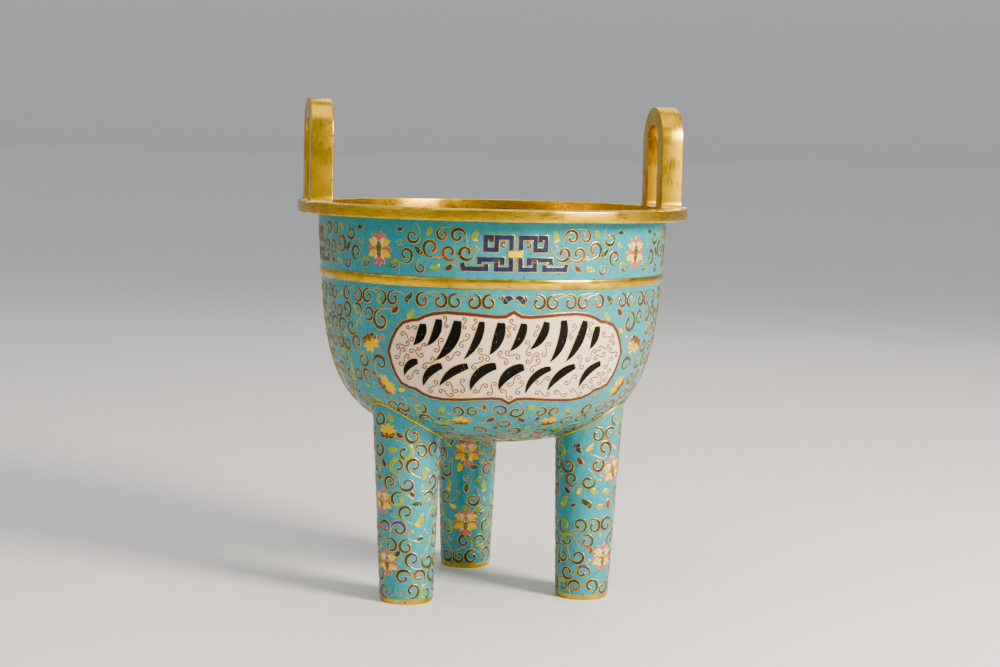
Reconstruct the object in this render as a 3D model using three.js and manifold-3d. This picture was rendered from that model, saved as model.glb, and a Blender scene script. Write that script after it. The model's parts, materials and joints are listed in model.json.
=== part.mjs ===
// A tripod incense burner in cloisonne enamel on copper with gilt bronze fittings: a round bowl with a
// straight neck, a flat rim with two upright loop handles, a moulded band and three columnar legs.
// Millimetres, +Z up. The origin is on the bowl's axis, in the plane that the three feet stand on.
import * as THREE from "three";
import { mergeVertices } from "three/addons/utils/BufferGeometryUtils.js";
import Module from "manifold-3d";

const wasm = await Module();
wasm.setup();

// Bowl: one vessel of even wall with its neck. Its side is one curve from the lowest point to the shoulder.
const BOWL_BOTTOM = 94.0; // height of its lowest point above the ground
const BOWL_HEIGHT = 99.0; // from there to the shoulder
const BOWL_RADIUS = 104.0; // at the shoulder, just under the band
const WALL = 2.6;
const BELLY_SIDE_TUCK = 3.0; // how far in from the shoulder the side's straight run aims
const BELLY_SIDE_HEIGHT = 28.0; // height above the lowest point at which that run would end
const BELLY_FLOOR_TUCK = 20.0; // how far in from the shoulder the underside's straight run would end

// Neck: from the band up to the rim, opening slightly.
const NECK_STEP = 0.8; // how far its foot stands out from the shoulder
const NECK_HEIGHT = 32.4;
const NECK_FLARE = 1.8; // growth of its radius from foot to top

// Rim: a flat ring that lies on the end of the neck and overhangs it.
const RIM_THICKNESS = 6.8;
const RIM_OVERHANG = 12.5; // beyond the neck's outer wall
const RIM_LIP = 1.5; // how far it reaches in past the neck's inner wall
const RIM_EDGE_ROUND = 1.0;
const RIM_MOUTH_ROUND = 0.5;

// Band: a convex moulding between the shoulder and the foot of the neck.
const BAND_HEIGHT = 6.0;
const BAND_PROUD = 0.9; // how far it stands out from the wall behind it

// Legs: hollow columns that widen upwards, closed below by gilt caps.
const LEG_INSET = 41.0; // from the bowl's shoulder in to the centre of a foot
const LEG_FOOT_RADIUS = 15.9;
const LEG_TAPER = 0.0405; // growth of the leg's radius for each millimetre of height
const LEG_SPLAY = 0.0155; // outward lean of its axis for each millimetre of height
const LEG_WALL = 2.2;
const CAP_HEIGHT = 3.0;
const CAP_EDGE_ROUND = 0.8;

// Handles: two arched straps that stand on the rim, their openings facing outwards.
const HANDLE_HEIGHT = 61.8; // above the rim
const HANDLE_SPAN = 42.5; // outer width of the loop, along the rim
const HANDLE_STRAP = 11.0; // thickness of the strap, in the plane of the loop
const HANDLE_WIDTH = 13.5; // width of the strap, across the rim
const HANDLE_INSET = 3.2; // from the rim's outer edge to the strap's outer face
const HANDLE_EDGE_ROUND = 0.8;
const FLARE_HEIGHT = 3.5; // the strap's foot spreads over this height
const FLARE_SPREAD = 1.4; // and by this much on every side
const FLARE_TUCK = 0.4; // how far the flare's upper edge lies inside the strap

const SEAM = 0.3; // clearance between two pieces that are fitted to a curved face
const WELD = 1e-4; // points nearer to each other than this are one
const ROUND_STEPS = 72; // facets round the bowl, the rim and the band
const LEG_STEPS = 36;
const BELLY_STEPS = 12;
const BAND_STEPS = 5;
const ARCH_STEPS = 16;

const bandBottom = BOWL_BOTTOM + BOWL_HEIGHT;
const bandTop = bandBottom + BAND_HEIGHT;
const rimUnderside = bandTop + NECK_HEIGHT;
const rimTop = rimUnderside + RIM_THICKNESS;
const neckFootRadius = BOWL_RADIUS + NECK_STEP;
const neckTopRadius = neckFootRadius + NECK_FLARE;
const rimRadius = neckTopRadius + RIM_OVERHANG;
const rimFlatRadius = rimRadius - RIM_EDGE_ROUND;
const rimMouthRadius = neckTopRadius - WALL - RIM_LIP;
const legCircle = BOWL_RADIUS - LEG_INSET;

const enamel = new THREE.MeshStandardMaterial({ color: 0x4fa6b2, roughness: 0.28, metalness: 0.0 });
const gilt = new THREE.MeshStandardMaterial({ color: 0xc79a45, roughness: 0.34, metalness: 1.0 });

// Turns a profile of [radius, height] pairs round the Z axis.
function turned(profile, steps) {
  const points = profile.map(([radius, height]) => new THREE.Vector2(radius, height));
  return new THREE.LatheGeometry(points, steps).rotateX(Math.PI / 2);
}

// The bare triangles of a geometry as a solid that can be joined and cut.
function solidFrom(geometry) {
  const bare = geometry.clone();
  bare.deleteAttribute("normal");
  bare.deleteAttribute("uv");
  const merged = mergeVertices(bare, WELD);
  return new wasm.Manifold(
    new wasm.Mesh({
      numProp: 3,
      vertProperties: new Float32Array(merged.attributes.position.array),
      triVerts: new Uint32Array(merged.index.array),
    }),
  );
}

function geometryFrom(solid) {
  const mesh = solid.getMesh();
  const geometry = new THREE.BufferGeometry();
  geometry.setAttribute("position", new THREE.BufferAttribute(mesh.vertProperties, 3));
  geometry.setIndex(new THREE.BufferAttribute(mesh.triVerts, 1));
  geometry.computeVertexNormals();
  return geometry;
}

function piece(name, geometry, material) {
  const mesh = new THREE.Mesh(geometry, material);
  mesh.name = name;
  return mesh;
}

// The vessel's outline from its lowest point up to the rim, moved outwards by offset.
function vesselOutline(offset) {
  const belly = new THREE.CubicBezierCurve(
    new THREE.Vector2(0, BOWL_BOTTOM),
    new THREE.Vector2(BOWL_RADIUS - BELLY_FLOOR_TUCK, BOWL_BOTTOM),
    new THREE.Vector2(BOWL_RADIUS - BELLY_SIDE_TUCK, BOWL_BOTTOM + BELLY_SIDE_HEIGHT),
    new THREE.Vector2(BOWL_RADIUS, bandBottom),
  );
  const outline = [[0, BOWL_BOTTOM - offset]];
  for (let i = 1; i <= BELLY_STEPS; i++) {
    const point = belly.getPoint(i / BELLY_STEPS);
    const along = belly.getTangent(i / BELLY_STEPS);
    outline.push([point.x + along.y * offset, point.y - along.x * offset]);
  }
  outline.push([neckFootRadius + offset, bandTop]);
  outline.push([neckTopRadius + offset, rimUnderside]);
  return outline;
}

function bowl() {
  const outside = vesselOutline(0);
  const inside = vesselOutline(-WALL).reverse();
  return piece("bowl", turned([...outside, ...inside], ROUND_STEPS), enamel);
}

function rim() {
  const profile = [
    [rimMouthRadius, rimUnderside],
    [rimFlatRadius, rimUnderside],
    [rimRadius, rimUnderside + RIM_EDGE_ROUND],
    [rimRadius, rimTop - RIM_EDGE_ROUND],
    [rimFlatRadius, rimTop],
    [rimMouthRadius + RIM_MOUTH_ROUND, rimTop],
    [rimMouthRadius, rimTop - RIM_MOUTH_ROUND],
    [rimMouthRadius, rimUnderside],
  ];
  return piece("rim", turned(profile, ROUND_STEPS), gilt);
}

// The band's back follows the wall at the seam's distance, and its front is half an ellipse.
function band() {
  const bulge = BAND_PROUD - SEAM;
  const profile = [];
  for (let i = 0; i <= BAND_STEPS; i++) {
    const angle = (Math.PI * i) / BAND_STEPS;
    const share = (1 - Math.cos(angle)) / 2;
    const back = THREE.MathUtils.lerp(BOWL_RADIUS, neckFootRadius, share) + SEAM;
    profile.push([back + bulge * Math.sin(angle), bandBottom + share * BAND_HEIGHT]);
  }
  profile.push(profile[0]);
  return piece("band", turned(profile, ROUND_STEPS), gilt);
}

// A tapering column that leans towards +X and stands over the origin at the cap's height, thinner by inset.
function column(inset, bottom, top) {
  const radiusAt = (height) => LEG_FOOT_RADIUS + LEG_TAPER * height - inset;
  const profile = [
    [0, bottom],
    [radiusAt(bottom), bottom],
    [radiusAt(top), top],
    [0, top],
  ];
  const lean = new THREE.Matrix4().makeShear(0, 0, 0, 0, LEG_SPLAY, 0);
  return solidFrom(turned(profile, LEG_STEPS).applyMatrix4(lean).translate(-LEG_SPLAY * CAP_HEIGHT, 0, 0));
}

// A tube whose top is cut to the vessel, whose axis is legCircle away towards -X.
function legGeometry() {
  const bore = column(LEG_WALL, CAP_HEIGHT - LEG_WALL, bandBottom + LEG_WALL);
  const tube = column(0, CAP_HEIGHT, bandBottom).subtract(bore);
  const vessel = turned([...vesselOutline(SEAM), [0, rimUnderside]], ROUND_STEPS);
  return geometryFrom(tube.subtract(solidFrom(vessel.translate(-legCircle, 0, 0))));
}

function capGeometry() {
  const profile = [
    [0, 0],
    [LEG_FOOT_RADIUS - CAP_EDGE_ROUND, 0],
    [LEG_FOOT_RADIUS, CAP_EDGE_ROUND],
    [LEG_FOOT_RADIUS + LEG_TAPER * CAP_HEIGHT, CAP_HEIGHT],
    [0, CAP_HEIGHT],
  ];
  return turned(profile, LEG_STEPS);
}

// The legs stand evenly round the axis, the first one at the back.
function legs() {
  const legShape = legGeometry();
  const capShape = capGeometry();
  const places = ["back", "left", "right"];
  const all = new THREE.Group();
  places.forEach((place, i) => {
    const stand = new THREE.Group();
    stand.position.x = legCircle;
    stand.add(piece("leg_" + place, legShape, enamel), piece("foot_cap_" + place, capShape, gilt));
    const spoke = new THREE.Group();
    spoke.rotation.z = Math.PI / 2 + (2 * Math.PI * i) / places.length;
    spoke.add(stand);
    all.add(spoke);
  });
  return all;
}

// The strap's outline in the plane of the loop, with its feet at height 0, drawn in by inset.
function loopOutline(inset) {
  const outer = HANDLE_SPAN / 2 - inset;
  const inner = HANDLE_SPAN / 2 - HANDLE_STRAP + inset;
  const archHeight = HANDLE_HEIGHT - HANDLE_SPAN / 2;
  const shape = new THREE.Shape();
  shape.moveTo(outer, inset);
  shape.lineTo(outer, archHeight);
  shape.absarc(0, archHeight, outer, 0, Math.PI, false);
  shape.lineTo(-outer, inset);
  shape.lineTo(-inner, inset);
  shape.lineTo(-inner, archHeight);
  shape.absarc(0, archHeight, inner, Math.PI, 0, true);
  shape.lineTo(inner, inset);
  return shape;
}

// The strap, bevelled along its edges, in the YZ plane with its width along X.
function strapSolid() {
  const strap = new THREE.ExtrudeGeometry(loopOutline(HANDLE_EDGE_ROUND), {
    depth: HANDLE_WIDTH - 2 * HANDLE_EDGE_ROUND,
    bevelThickness: HANDLE_EDGE_ROUND,
    bevelSize: HANDLE_EDGE_ROUND,
    bevelSegments: 1,
    curveSegments: ARCH_STEPS,
  });
  strap.translate(0, 0, HANDLE_EDGE_ROUND - HANDLE_WIDTH / 2);
  const upright = new THREE.Matrix4().makeBasis(
    new THREE.Vector3(0, 1, 0),
    new THREE.Vector3(0, 0, 1),
    new THREE.Vector3(1, 0, 0),
  );
  return solidFrom(strap.applyMatrix4(upright));
}

// A block round one foot of the strap, whose four sides spread outwards down to the rim.
function flareSolid(centreY) {
  const block = new THREE.BoxGeometry(HANDLE_WIDTH, HANDLE_STRAP, FLARE_HEIGHT);
  const corners = block.attributes.position;
  for (let i = 0; i < corners.count; i++) {
    const spread = corners.getZ(i) < 0 ? FLARE_SPREAD : -FLARE_TUCK;
    corners.setX(i, corners.getX(i) + Math.sign(corners.getX(i)) * spread);
    corners.setY(i, corners.getY(i) + Math.sign(corners.getY(i)) * spread);
  }
  return solidFrom(block.translate(0, centreY, FLARE_HEIGHT / 2));
}

// One handle, on a rim whose axis is handleRadius away towards -X. Its flares end where the rim's flat does.
function handleGeometry(handleRadius) {
  const footCentre = (HANDLE_SPAN - HANDLE_STRAP) / 2;
  const flat = [
    [rimMouthRadius + RIM_MOUTH_ROUND, 0],
    [rimFlatRadius, 0],
    [rimFlatRadius, FLARE_HEIGHT],
    [rimMouthRadius + RIM_MOUTH_ROUND, FLARE_HEIGHT],
    [rimMouthRadius + RIM_MOUTH_ROUND, 0],
  ];
  const rimFlat = solidFrom(turned(flat, ROUND_STEPS).translate(-handleRadius, 0, 0));
  const flares = flareSolid(footCentre).add(flareSolid(-footCentre)).intersect(rimFlat);
  return geometryFrom(strapSolid().add(flares));
}

function handles() {
  const handleRadius = rimRadius - HANDLE_INSET - HANDLE_WIDTH / 2;
  const shape = handleGeometry(handleRadius);
  const sides = ["right", "left"];
  const all = new THREE.Group();
  sides.forEach((side, i) => {
    const handle = piece("handle_" + side, shape, gilt);
    handle.position.set(handleRadius, 0, rimTop);
    const spoke = new THREE.Group();
    spoke.rotation.z = (2 * Math.PI * i) / sides.length;
    spoke.add(handle);
    all.add(spoke);
  });
  return all;
}

const censer = new THREE.Group();
censer.add(bowl(), rim(), band(), legs(), handles());

export default censer;
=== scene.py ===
# The looks of a tripod incense burner in cloisonne enamel on copper with gilt bronze fittings.
import json
import math
import random

import bpy
from mathutils import Matrix, Vector

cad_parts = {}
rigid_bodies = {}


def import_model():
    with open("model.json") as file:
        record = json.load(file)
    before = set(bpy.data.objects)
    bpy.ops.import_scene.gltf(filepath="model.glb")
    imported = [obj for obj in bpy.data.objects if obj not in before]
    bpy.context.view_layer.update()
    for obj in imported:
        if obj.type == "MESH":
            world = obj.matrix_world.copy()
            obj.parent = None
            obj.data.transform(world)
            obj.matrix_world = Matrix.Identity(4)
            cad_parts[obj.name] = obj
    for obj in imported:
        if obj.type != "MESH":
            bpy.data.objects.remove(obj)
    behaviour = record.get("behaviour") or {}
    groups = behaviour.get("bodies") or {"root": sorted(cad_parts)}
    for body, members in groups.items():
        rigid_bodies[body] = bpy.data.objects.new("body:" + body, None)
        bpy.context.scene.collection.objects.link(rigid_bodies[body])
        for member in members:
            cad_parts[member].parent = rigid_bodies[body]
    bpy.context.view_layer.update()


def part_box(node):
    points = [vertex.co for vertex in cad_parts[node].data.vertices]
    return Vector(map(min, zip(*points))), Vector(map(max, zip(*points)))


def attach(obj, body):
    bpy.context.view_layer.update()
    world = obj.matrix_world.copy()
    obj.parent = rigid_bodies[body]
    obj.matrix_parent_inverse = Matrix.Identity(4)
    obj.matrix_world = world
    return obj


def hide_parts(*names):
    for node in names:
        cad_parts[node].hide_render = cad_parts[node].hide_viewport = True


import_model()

bl_info = {
    "name": "Cloisonne incense burner",
    "version": (1, 0, 0),
    "blender": (4, 5, 0),
    "location": "3D View > Sidebar > Incense burner",
    "description": "Dresses a tripod incense burner in cloisonne enamel and gilt bronze",
    "category": "Object",
}

MM = 0.001
PHOTO_WIDTH = 1000
BOWL_LOW, BOWL_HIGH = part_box("bowl")
BAND_LOW, BAND_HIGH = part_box("band")
RIM_LOW, RIM_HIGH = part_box("rim")
CAP_LOW, CAP_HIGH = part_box("foot_cap_back")
HANDLE_LOW, HANDLE_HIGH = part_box("handle_right")
LEG_CIRCLE = (CAP_LOW.y + CAP_HIGH.y) / 2  # radius of the circle that the legs stand on
FRONT = math.radians(-4.4)  # the decoration's middle, from the middle between the front legs
LEG_PLACES = {"back": math.pi, "left": -math.pi / 3, "right": math.pi / 3}  # azimuths, from the front
LEG_TOP_MARGIN = 1.2 * MM  # bare strip under the wire where a leg meets the bowl
# Seeds of the random draws, so that every run gives the same burner.
PANEL_SEED, BELLY_SEED, LEG_SEED, SOLDER_SEED = 11, 5, 21, 40

# The kinds of fill. A motif's faces hold one of these numbers, and own and own_end stand for the two
# enamels that its point gives.
FILLS = ("wire", "dull_wire", "own", "own_end", "violet", "brick", "orange", "yellow", "leaf_green",
         "dark_green", "brown", "pink", "white", "black", "purple")
(WIRE, DULL_WIRE, OWN, OWN_END, VIOLET, BRICK, ORANGE, YELLOW, LEAF_GREEN, DARK_GREEN, BROWN, PINK, WHITE,
 BLACK, PURPLE) = range(len(FILLS))
# The enamels of a scroll's sweep and of its curled end.
SCROLL_FILLS = ((BROWN, BROWN), (BROWN, BROWN), (BROWN, ORANGE), (BROWN, DARK_GREEN), (DARK_GREEN, BROWN),
                (DARK_GREEN, LEAF_GREEN), (BROWN, BRICK), (PURPLE, BRICK), (DARK_GREEN, DARK_GREEN),
                (ORANGE, BROWN), (BROWN, PURPLE), (LEAF_GREEN, DARK_GREEN), (DARK_GREEN, ORANGE))
BUD_FILLS = ((BRICK, BRICK), (LEAF_GREEN, YELLOW), (VIOLET, VIOLET), (YELLOW, ORANGE),
             (LEAF_GREEN, LEAF_GREEN), (DARK_GREEN, LEAF_GREEN), (ORANGE, BRICK))
PLAIN_FILLS = ((BROWN, BROWN),)


def linear(hex_colour):
    """Turns an sRGB hex colour to linear red, green and blue."""
    parts = [int(hex_colour[i:i + 2], 16) / 255 for i in (1, 3, 5)]
    return tuple(c / 12.92 if c <= 0.04045 else ((c + 0.055) / 1.055) ** 2.4 for c in parts)


def length(name, description, millimetres):
    """A size property, given in millimetres and kept in metres."""
    return bpy.props.FloatProperty(name=name, description=description, default=millimetres * MM,
                                   unit="LENGTH", precision=4)


def number(name, description, value, unit="NONE"):
    """A property for a ratio, or for an angle in radians."""
    return bpy.props.FloatProperty(name=name, description=description, default=value, unit=unit)


def tint(name, description, hex_colour):
    """A colour property, given as sRGB hex."""
    return bpy.props.FloatVectorProperty(name=name, description=description, subtype="COLOR", size=3,
                                         min=0.0, max=1.0, default=linear(hex_colour))


class BurnerVessel(bpy.types.PropertyGroup):
    """Sizes of the bowl, its neck and the three legs."""
    shoulder: length("Shoulder radius", "Radius of the bowl just under the band", 104.0)
    neck_step: length("Neck step", "How far the neck's foot stands out from the shoulder", 0.8)
    wall: length("Wall", "Thickness of the copper with its enamel", 2.6)
    side_tuck: length("Side tuck", "How far in from the shoulder the side's straight run aims", 3.0)
    side_height: length("Side height", "Height above the lowest point at which that run would end", 28.0)
    floor_tuck: length("Floor tuck", "How far in from the shoulder the underside's straight run ends", 20.0)
    leg_wall: length("Leg wall", "Thickness of a leg's wall", 2.2)
    leg_taper: number("Leg taper", "Growth of a leg's radius with its height", 0.0405)
    leg_splay: number("Leg splay", "Outward lean of a leg's axis with its height", 0.0155)
    seam: length("Seam", "Clearance between fitted pieces", 0.3)


class BurnerGilt(bpy.types.PropertyGroup):
    """Sizes and colours of the gilt fittings."""
    strap_width: length("Strap width", "Width of a handle's strap across its loop", 13.5)
    rim_round: length("Rim edge", "Rounding of the rim's outer edges", 1.0)
    rim_lip: length("Rim lip", "How far the rim reaches in past the neck's inner wall", 1.5)
    mouth_round: length("Mouth edge", "Rounding of the rim's inner edge", 0.5)
    strap: length("Strap thickness", "Thickness of a handle's strap in the plane of its loop", 11.0)
    strap_round: length("Strap edge", "Rounding of the strap's edges", 0.8)
    flare_height: length("Flare height", "Height over which the strap's foot spreads", 3.5)
    flare_spread: length("Flare spread", "How far the strap's foot spreads", 1.4)
    cap_round: length("Foot edge", "Rounding of the lower edge of a foot", 0.8)
    junction_wire: length("Junction wire", "Thickness of the wire where a leg meets the bowl", 1.8)
    solder_bead: length("Solder bead", "Thickness of the bead of solder round a handle's foot", 1.3)
    gold: tint("Gold", "The clean gilding", "#E6C04A")
    worn: tint("Worn gold", "Gilding thinned to the bronze", "#8C6A2A")
    wire: tint("Wire", "The gilding of the wires", "#CFBA55")
    tarnish: tint("Tarnish", "Brown film in the low places", "#5A3A1A")


class BurnerEnamel(bpy.types.PropertyGroup):
    """Sizes of the cells and colours of the enamels."""
    wire_width: length("Wire width", "Width of the wires between the cells, at their foot", 0.62)
    wire_rise: length("Wire rise", "How far a wire's crest stands above the ground", 0.21)
    cell_rise: length("Cell rise", "How far a cell's surface stands above the ground", 0.09)
    turquoise: tint("Turquoise", "The ground", "#2D8D99")
    violet: tint("Violet", "The fret and small leaves", "#1E224C")
    brick: tint("Brick red", "The border of the cartouche", "#5E200F")
    orange: tint("Orange", "Buds and some scrolls", "#853A0C")
    yellow: tint("Yellow", "Petals and the clasp", "#EBBD00")
    leaf_green: tint("Leaf green", "Curled leaves", "#8CA522")
    dark_green: tint("Dark green", "Scrolls and leaves", "#1D4630")
    brown: tint("Brown", "Most scrolls", "#3C260E")
    pink: tint("Pink", "Petals", "#BA5A66")
    white: tint("White", "The ground of the cartouche", "#DFCBB3")
    black: tint("Black", "The strokes in the cartouche", "#070605")
    purple: tint("Purple", "Some scrolls", "#472865")


class BurnerStage(bpy.types.PropertyGroup):
    """The floor, the lights and the camera."""
    distance: length("Camera distance", "From the bowl's axis to the camera, along the ground", 1159.81)
    height: length("Camera height", "Above the ground", 270.68)
    swing: number("Swing", "How far to the left of the front the camera stands", math.radians(11.8),
                  "ROTATION")
    pan: number("Pan", "Turn to the right of the bowl's axis", 0.0054, "ROTATION")
    tilt: number("Tilt", "Turn below level", 0.0966, "ROTATION")
    roll: number("Roll", "Turn about the line of sight", 0.023, "ROTATION")
    focal_pixels: number("Focal length", "In pixels of a picture 1000 wide", 1883.26)
    floor: tint("Floor", "The floor's colour", "#DEDEDE")


# Meshes, node trees and curves.


def new_mesh(name, vertices, faces):
    mesh = bpy.data.meshes.new(name)
    mesh.from_pydata(vertices, [], faces)
    mesh.validate()
    return mesh


def new_object(name, data):
    made = bpy.data.objects.new(name, data)
    bpy.context.scene.collection.objects.link(made)
    return made


def shown(name, mesh, nodes=(), sharp=None):
    """Puts a finished mesh in the scene as a piece that rides on the one body and stands for the given nodes.
    Edges that bend by more than sharp, in degrees, stay crisp."""
    mesh.shade_smooth()
    if sharp is not None:
        mesh.set_sharp_from_angle(angle=math.radians(sharp))
    made = new_object(name, mesh)
    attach(made, "root")
    if nodes:
        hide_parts(*nodes)


def give(tree, made, inputs):
    """Gives each input of a node a value, or a link from a socket or from a node's first output."""
    for key, value in inputs.items():
        if isinstance(value, bpy.types.Node):
            value = value.outputs[0]
        if isinstance(value, bpy.types.NodeSocket):
            tree.links.new(value, made.inputs[key])
        else:
            made.inputs[key].default_value = value


def node(tree, kind, inputs=None, **settings):
    """Adds a node with its settings and what its inputs take."""
    made = tree.nodes.new(kind)
    for key, value in settings.items():
        setattr(made, key, value)
    give(tree, made, inputs or {})
    return made


def new_tree(name, inputs):
    """Starts a Geometry Nodes tree that takes a geometry and the named inputs, and gives their sockets."""
    tree = bpy.data.node_groups.new(name, "GeometryNodeTree")
    tree.interface.new_socket("Geometry", in_out="OUTPUT", socket_type="NodeSocketGeometry")
    tree.interface.new_socket("Geometry", in_out="INPUT", socket_type="NodeSocketGeometry")
    for label, kind in inputs:
        tree.interface.new_socket(label, in_out="INPUT", socket_type="NodeSocket" + kind)
    return tree, tree.nodes.new("NodeGroupInput").outputs


def finish_tree(tree, geometry, dressing):
    """Ends a tree: realizes what it made and sets each material where its selection says."""
    made = node(tree, "GeometryNodeRealizeInstances", {"Geometry": geometry})
    for material, where in dressing:
        made = node(tree, "GeometryNodeSetMaterial",
                    {"Geometry": made, "Selection": where, "Material": material})
    node(tree, "NodeGroupOutput", {"Geometry": made})
    return tree


def grown(name, source, tree, values):
    """Runs a tree on a mesh or curve and returns what it makes as a plain mesh."""
    holder = new_object(name + "_source", source)
    modifier = holder.modifiers.new("grow", "NODES")
    modifier.node_group = tree
    for item in tree.interface.items_tree:
        if item.in_out == "INPUT" and item.name in values:
            modifier[item.identifier] = values[item.name]
    ready = holder.evaluated_get(bpy.context.evaluated_depsgraph_get())
    mesh = bpy.data.meshes.new_from_object(ready)
    mesh.name = name
    holder.modifiers.remove(modifier)
    bpy.data.objects.remove(holder)
    keep_used_slots(mesh)
    return mesh


def keep_used_slots(mesh):
    """Drops the material slots that no face uses."""
    held = [0] * len(mesh.polygons)
    mesh.polygons.foreach_get("material_index", held)
    used = sorted(set(held))
    materials = [mesh.materials[index] for index in used]
    mesh.materials.clear()
    for material in materials:
        mesh.materials.append(material)
    mesh.polygons.foreach_set("material_index", [used.index(index) for index in held])


def path_curve(name, points, cyclic=False):
    """A curve through the given points, without smoothing."""
    curve = bpy.data.curves.new(name, "CURVE")
    curve.dimensions = "3D"
    spline = curve.splines.new("POLY")
    spline.points.add(len(points) - 1)
    for place, point in zip(spline.points, points):
        place.co = (*point, 1.0)
    spline.use_cyclic_u = cyclic
    return curve


def profile_curve(name, profile):
    """A curve in the XZ plane through pairs of radius and height."""
    return path_curve(name, [(radius, 0.0, height) for radius, height in profile])


# The vessel's outline, and pieces that are turned or drawn.

BELLY_STEPS = 56
NECK_STEPS = 6
LEAST_GAP = 1e-6  # points closer than this are one


def vessel_outline(offset=0.0):
    """The vessel's outline from its lowest point up to the rim, moved outwards by offset."""
    sizes = bpy.context.scene.burner_vessel
    shoulder = sizes.shoulder
    ends = (Vector((0, BOWL_LOW.z)), Vector((shoulder - sizes.floor_tuck, BOWL_LOW.z)),
            Vector((shoulder - sizes.side_tuck, BOWL_LOW.z + sizes.side_height)),
            Vector((shoulder, BAND_LOW.z)))
    outline = [(0.0, BOWL_LOW.z - offset)]
    for i in range(1, BELLY_STEPS + 1):
        t = i / BELLY_STEPS
        u = 1 - t
        point = u**3 * ends[0] + 3 * t * u * u * ends[1] + 3 * t * t * u * ends[2] + t**3 * ends[3]
        along = u * u * (ends[1] - ends[0]) + 2 * t * u * (ends[2] - ends[1]) + t * t * (ends[3] - ends[2])
        along.normalize()
        outline.append((point.x + along.y * offset, point.y - along.x * offset))
    foot = Vector((shoulder + sizes.neck_step + offset, BAND_HIGH.z))
    top = Vector((BOWL_HIGH.x + offset, BOWL_HIGH.z))
    outline += [tuple(foot.lerp(top, i / NECK_STEPS)) for i in range(NECK_STEPS + 1)]
    return outline


def stretches(outline):
    """Each stretch of an outline: the run up to it, its length, and the radius and height of its ends."""
    run = 0.0
    for (r0, z0), (r1, z1) in zip(outline, outline[1:]):
        step = math.hypot(r1 - r0, z1 - z0)
        yield run, step, r0, z0, r1, z1
        run += step


def run_at(outline, height):
    """Length along an outline from its start up to a height."""
    for run, step, _, z0, _, z1 in stretches(outline):
        if z1 >= height:
            return run + step * ((height - z0) / (z1 - z0) if z1 > z0 else 0.0)
    return run + step


def radius_along(outline):
    """A function that gives an outline's radius at a run along it."""
    def radius_at(run):
        for done, step, r0, _, r1, _ in stretches(outline):
            if done + step >= run:
                return r0 + (r1 - r0) * (run - done) / step
        return outline[-1][0]
    return radius_at


def height_over(outline, radius):
    """Height of an outline at a radius."""
    for (r0, z0), (r1, z1) in zip(outline, outline[1:]):
        if r1 >= radius:
            return z0 + (z1 - z0) * (radius - r0) / (r1 - r0) if r1 > r0 else z0
    return outline[-1][1]


def round_axis(tree, radius, angle, height):
    """The place at a radius and a height, turned from the front by an angle round the upright axis."""
    sine = node(tree, "ShaderNodeMath", {0: angle}, operation="SINE")
    cosine = node(tree, "ShaderNodeMath", {0: angle}, operation="COSINE")
    x = node(tree, "ShaderNodeMath", {0: radius, 1: sine}, operation="MULTIPLY")
    back = node(tree, "ShaderNodeMath", {0: radius, 1: cosine}, operation="MULTIPLY")
    y = node(tree, "ShaderNodeMath", {0: back, 1: -1.0}, operation="MULTIPLY")
    return node(tree, "ShaderNodeCombineXYZ", {"X": x, "Y": y, "Z": height})


def turned_tree():
    """Turns a profile of radius and height round the upright axis."""
    tree, given = new_tree("Turned piece", (("Steps", "Int"), ("Material", "Material")))
    profile = node(tree, "GeometryNodeAttributeDomainSize", {"Geometry": given["Geometry"]},
                   component="CURVE")
    rows = profile.outputs["Point Count"]
    columns = node(tree, "ShaderNodeMath", {0: given["Steps"], 1: 1.0}, operation="ADD")
    grid = node(tree, "GeometryNodeMeshGrid", {"Size X": 1.0, "Size Y": 1.0, "Vertices X": columns,
                                               "Vertices Y": rows})
    place = node(tree, "GeometryNodeInputPosition")
    shares = node(tree, "ShaderNodeSeparateXYZ", {0: place})
    last = node(tree, "ShaderNodeMath", {0: rows, 1: 1.0}, operation="SUBTRACT")
    upwards = node(tree, "ShaderNodeMath", {0: shares.outputs["Y"], 1: 0.5}, operation="ADD")
    row = node(tree, "ShaderNodeMath", {0: upwards, 1: last}, operation="MULTIPLY")
    whole_row = node(tree, "ShaderNodeMath", {0: row}, operation="ROUND")
    taken = node(tree, "GeometryNodeSampleIndex", {"Geometry": given["Geometry"], "Value": place,
                                                   "Index": whole_row},
                 data_type="FLOAT_VECTOR", domain="POINT")
    point = node(tree, "ShaderNodeSeparateXYZ", {0: taken})
    around = node(tree, "ShaderNodeMath", {0: shares.outputs["X"], 1: 2 * math.pi}, operation="MULTIPLY")
    rolled = round_axis(tree, point.outputs["X"], around, point.outputs["Z"])
    moved = node(tree, "GeometryNodeSetPosition", {"Geometry": grid, "Position": rolled})
    joined = node(tree, "GeometryNodeMergeByDistance", {"Geometry": moved, "Distance": LEAST_GAP})
    return finish_tree(tree, joined, [(given["Material"], True)])


def wire_tree():
    """Sweeps a round wire along a path."""
    tree, given = new_tree("Drawn wire", (("Radius", "Float"), ("Sides", "Int"), ("Material", "Material")))
    section = node(tree, "GeometryNodeCurvePrimitiveCircle", {"Resolution": given["Sides"],
                                                              "Radius": given["Radius"]})
    swept = node(tree, "GeometryNodeCurveToMesh", {"Curve": given["Geometry"], "Profile Curve": section})
    return finish_tree(tree, swept, [(given["Material"], True)])


def turned(name, profile, steps, material):
    """A turned piece's mesh from a profile of radius and height, upwards on its outer side."""
    curve = profile_curve(name + "_profile", profile)
    return grown(name, curve, turned_tree(), {"Steps": steps, "Material": material})


# Materials. The first sizes are those of the patterns on the real surfaces.

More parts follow.
